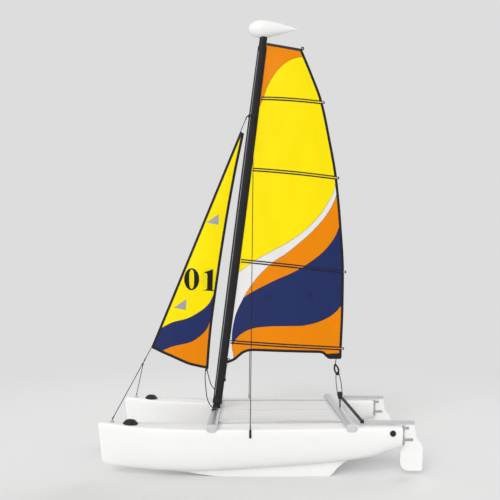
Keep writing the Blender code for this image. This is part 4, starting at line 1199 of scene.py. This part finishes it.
def make_sleeves():
    """Pressed sleeves at both ends of each wire."""
    for node in ("forestay", "bridle_leg_port", "bridle_leg_starboard", "shroud_port",
                 "shroud_starboard"):
        points = [v.co.copy() for v in frame["nodes"][node].data.vertices]
        sleeves = []
        for corner in (min(points, key=lambda p: p.z), max(points, key=lambda p: p.z)):
            end = ring_centre(points, corner)
            rest = [p for p in points if (p - end).length > WIRE_END_REACH]
            nearest = min(rest, key=lambda p: (p - end).length)
            along = (ring_centre(points, nearest) - end).normalized()
            path = [end + along * reach for reach, _ in SLEEVE]
            sleeves.append(tube(path, [radius for _, radius in SLEEVE], 14))
        add_piece(node + "_sleeves", joined(sleeves), ["black"], "platform")


# Running rigging

def knotted(path, radius, knots):
    """Radius at each point of a rope that swells at its knots, each so far along it."""
    run = 0.0
    radii = []
    for before, point in zip([path[0]] + path, path):
        run += (point - before).length
        near = min(abs(run - knot) for knot in knots) / KNOT_HALF
        radii.append(radius * (1.0 + KNOT_SWELL * max(0.0, 1.0 - near * near)))
    return radii


def make_jib_sheets(jib):
    """Sheets from the jib's clew through their fairleads on the front beam."""
    clew_x, clew_z = [a + b for a, b in zip(JIB_LEECH[0], JIB_CLEW_EYE)]
    clew = Vector((clew_x, jib.middle(0.59, 1.0), clew_z))
    low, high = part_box("front_beam")
    for side, sign in SIDES.items():
        foot = Vector(((low.x + high.x) / 2.0 + FAIRLEAD_AHEAD[side], sign * FAIRLEAD_Y, high.z))
        lead = foot + Vector((0.0, 0.0, FAIRLEAD_RISE))
        tail = [lead + Vector((-back, sign * 0.2 * back, -0.3 * back)) for back in SHEET_TAIL]
        path = curve_points([clew] + JIB_SHEETS[side] + [lead] + tail, 0.006)
        length = sum((b - a).length for a, b in zip(path, path[1:]))
        radii = knotted(path, ROPE, (CLEW_KNOT, length - KNOT_HALF))
        add_piece("jib_sheet_" + side, tube(path, radii), ["rope"], "platform")
        base = rounded_box(*[foot + Vector(corner) for corner in FAIRLEAD_BASE], 0.003)
        middle = lead - Vector((0.0, 0.0, HOOP_DROP))
        hoop = ring_points(middle, Vector((0.0, FAIRLEAD_HOOP[0], 0.0)),
                           Vector((0.0, 0.0, FAIRLEAD_HOOP[1])), 20)
        fairlead = joined([base, tube(hoop, FAIRLEAD_WIRE, closed=True)])
        add_piece("jib_fairlead_" + side, fairlead, ["black"], "platform")


def sheet_loop(upper, lower):
    """Closed path up to the link's wheel, over it, down again and under the lower wheel."""
    turns = [math.pi * i / 14 for i in range(15)]
    ways = [Vector((math.cos(a), 0.0, math.sin(a))) for a in turns]
    over = [upper + way * (LINK_SHEAVE + SHEET_ROPE) for way in ways]
    under = [lower - way * (LOWER_SHEAVE + SHEET_ROPE) for way in ways]
    bow = Vector((SHEET_BOW, 0.0, 0.0))
    rising = curve_points([under[-1], under[-1].lerp(over[0], 0.5) + bow, over[0]], 0.012)
    falling = curve_points([over[-1], over[-1].lerp(under[0], 0.5) - bow, under[0]], 0.012)
    return rising[:-1] + over + falling[1:-1] + under[:-1]


def make_mainsheet(upper):
    """Loop of rope between the clew's link and the lower block."""
    low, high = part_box("mainsheet_block_lower")
    lower = Vector(((low.x + high.x) / 2.0, 0.0, high.z - LOWER_SHEAVE_DROP))
    sheet = add_piece("mainsheet", tube(sheet_loop(upper, lower), SHEET_ROPE, closed=True),
                      ["rope"], None)
    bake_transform(sheet)


def make_halyard():
    """Rope up the mast's port side, and its cleat."""
    turning = frame["joints"][0]
    axis = Vector(turning["axis"]).normalized()
    ahead = Vector((0.0, 1.0, 0.0)).cross(axis) * HALYARD_AHEAD
    low, high = HALYARD_SPAN
    path = []
    for i in range(60):
        centre = Vector(turning["pos_m"]) + axis * (low + (high - low) * i / 59) + ahead
        hit = MAST.ray_cast(centre + Vector((0.0, 0.2, 0.0)), Vector((0.0, -1.0, 0.0)))[0]
        path.append(hit + Vector((0.0, THIN_ROPE, 0.0)))
    add_piece("halyard", tube(path, THIN_ROPE), ["pale_rope"], "rig")
    cleat = tube([path[0] + axis * reach for reach, _ in HALYARD_CLEAT],
                 [radius for _, radius in HALYARD_CLEAT], 12)
    add_piece("halyard_cleat", cleat, ["black"], "rig")


def make_downhaul():
    """Short rope from the mainsail's tack to a cleat on the mast."""
    tack_z = MAIN_ROWS[0][0]
    tack_x = mast_aft(tack_z)
    cleat_x = mast_aft(DOWNHAUL_CLEAT)
    path = [(tack_x - 0.012, 0.0, tack_z - 0.005), (tack_x + 0.004, 0.0, tack_z - 0.055),
            (cleat_x - 0.008, 0.0, DOWNHAUL_CLEAT + 0.010)]
    cleat = rounded_box((cleat_x - 0.014, -0.010, DOWNHAUL_CLEAT - 0.025),
                        (cleat_x + 0.004, 0.010, DOWNHAUL_CLEAT + 0.015), 0.003)
    add_piece("downhaul", joined([tube(curve_points(path, 0.02), THIN_ROPE), cleat]), ["rope"],
              "rig")


# Stage

def empty_tree(owner):
    owner.use_nodes = True
    owner.node_tree.nodes.clear()
    return owner.node_tree


def make_floor():
    """Pale floor that fades into the backdrop."""
    bpy.ops.mesh.primitive_circle_add(vertices=96, radius=FLOOR_RADIUS, fill_type="NGON")
    floor = bpy.context.object
    floor.name = "floor"
    material = bpy.data.materials.new("pale_floor")
    tree = empty_tree(material)
    matte = add_node(tree, "ShaderNodeBsdfDiffuse", {"Color": FLOOR})
    glow = add_node(tree, "ShaderNodeEmission", {"Color": BACKDROP})
    place = add_node(tree, "ShaderNodeTexCoord").outputs["Object"]
    distance = add_node(tree, "ShaderNodeVectorMath", {0: place}, operation="LENGTH")
    fade = add_node(tree, "ShaderNodeMapRange",
                    {"Value": distance.outputs["Value"], "From Min": FADE[0], "From Max": FADE[1]},
                    interpolation_type="SMOOTHSTEP")
    mix = add_node(tree, "ShaderNodeMixShader",
                   {"Fac": fade.outputs["Result"], 1: matte.outputs[0], 2: glow.outputs[0]})
    add_node(tree, "ShaderNodeOutputMaterial", {"Surface": mix.outputs[0]})
    floor.data.materials.append(material)


def make_world():
    """White light from all round, and the even backdrop that is seen, also in gloss."""
    world = bpy.data.worlds.new("studio")
    bpy.context.scene.world = world
    tree = empty_tree(world)
    lit = add_node(tree, "ShaderNodeBackground",
                   {"Color": (1.0, 1.0, 1.0, 1.0), "Strength": WORLD_LIGHT})
    seen = add_node(tree, "ShaderNodeBackground", {"Color": BACKDROP, "Strength": 1.0})
    rays = add_node(tree, "ShaderNodeLightPath").outputs
    direct = rays["Is Camera Ray"]
    for ray in ("Is Glossy Ray", "Is Transmission Ray"):
        direct = add_node(tree, "ShaderNodeMath", {0: direct, 1: rays[ray]},
                          operation="MAXIMUM").outputs[0]
    mix = add_node(tree, "ShaderNodeMixShader",
                   {"Fac": direct, 1: lit.outputs[0], 2: seen.outputs[0]})
    add_node(tree, "ShaderNodeOutputWorld", {"Surface": mix.outputs[0]})


def make_lamps():
    for name, (place, strength) in LIGHTS.items():
        lamp = bpy.data.lights.new(name, "SUN")
        lamp.angle = math.radians(LIGHT_SPREAD)
        lamp.energy = strength
        light = bpy.data.objects.new(name, lamp)
        light.location = place
        light.rotation_euler = (-Vector(place)).to_track_quat("-Z", "Y").to_euler()
        bpy.context.scene.collection.objects.link(light)


def make_camera():
    data = bpy.data.cameras.new("camera")
    data.lens = CAMERA_LENS
    data.shift_x, data.shift_y = CAMERA_SHIFT
    camera = bpy.data.objects.new("camera", data)
    camera.location = CAMERA_PLACE
    camera.rotation_euler = (math.pi / 2.0, 0.0, math.pi)
    bpy.context.scene.collection.objects.link(camera)
    bpy.context.scene.camera = camera
    bpy.context.scene.view_settings.view_transform = "Standard"


make_camera()
make_floor()
make_world()
make_lamps()
finish_nodes()
make_mainsail()
jib = make_jib()
make_trampoline()
make_bolts()
make_sleeves()
make_jib_sheets(jib)
make_mainsheet(make_link())
make_halyard()
make_downhaul()
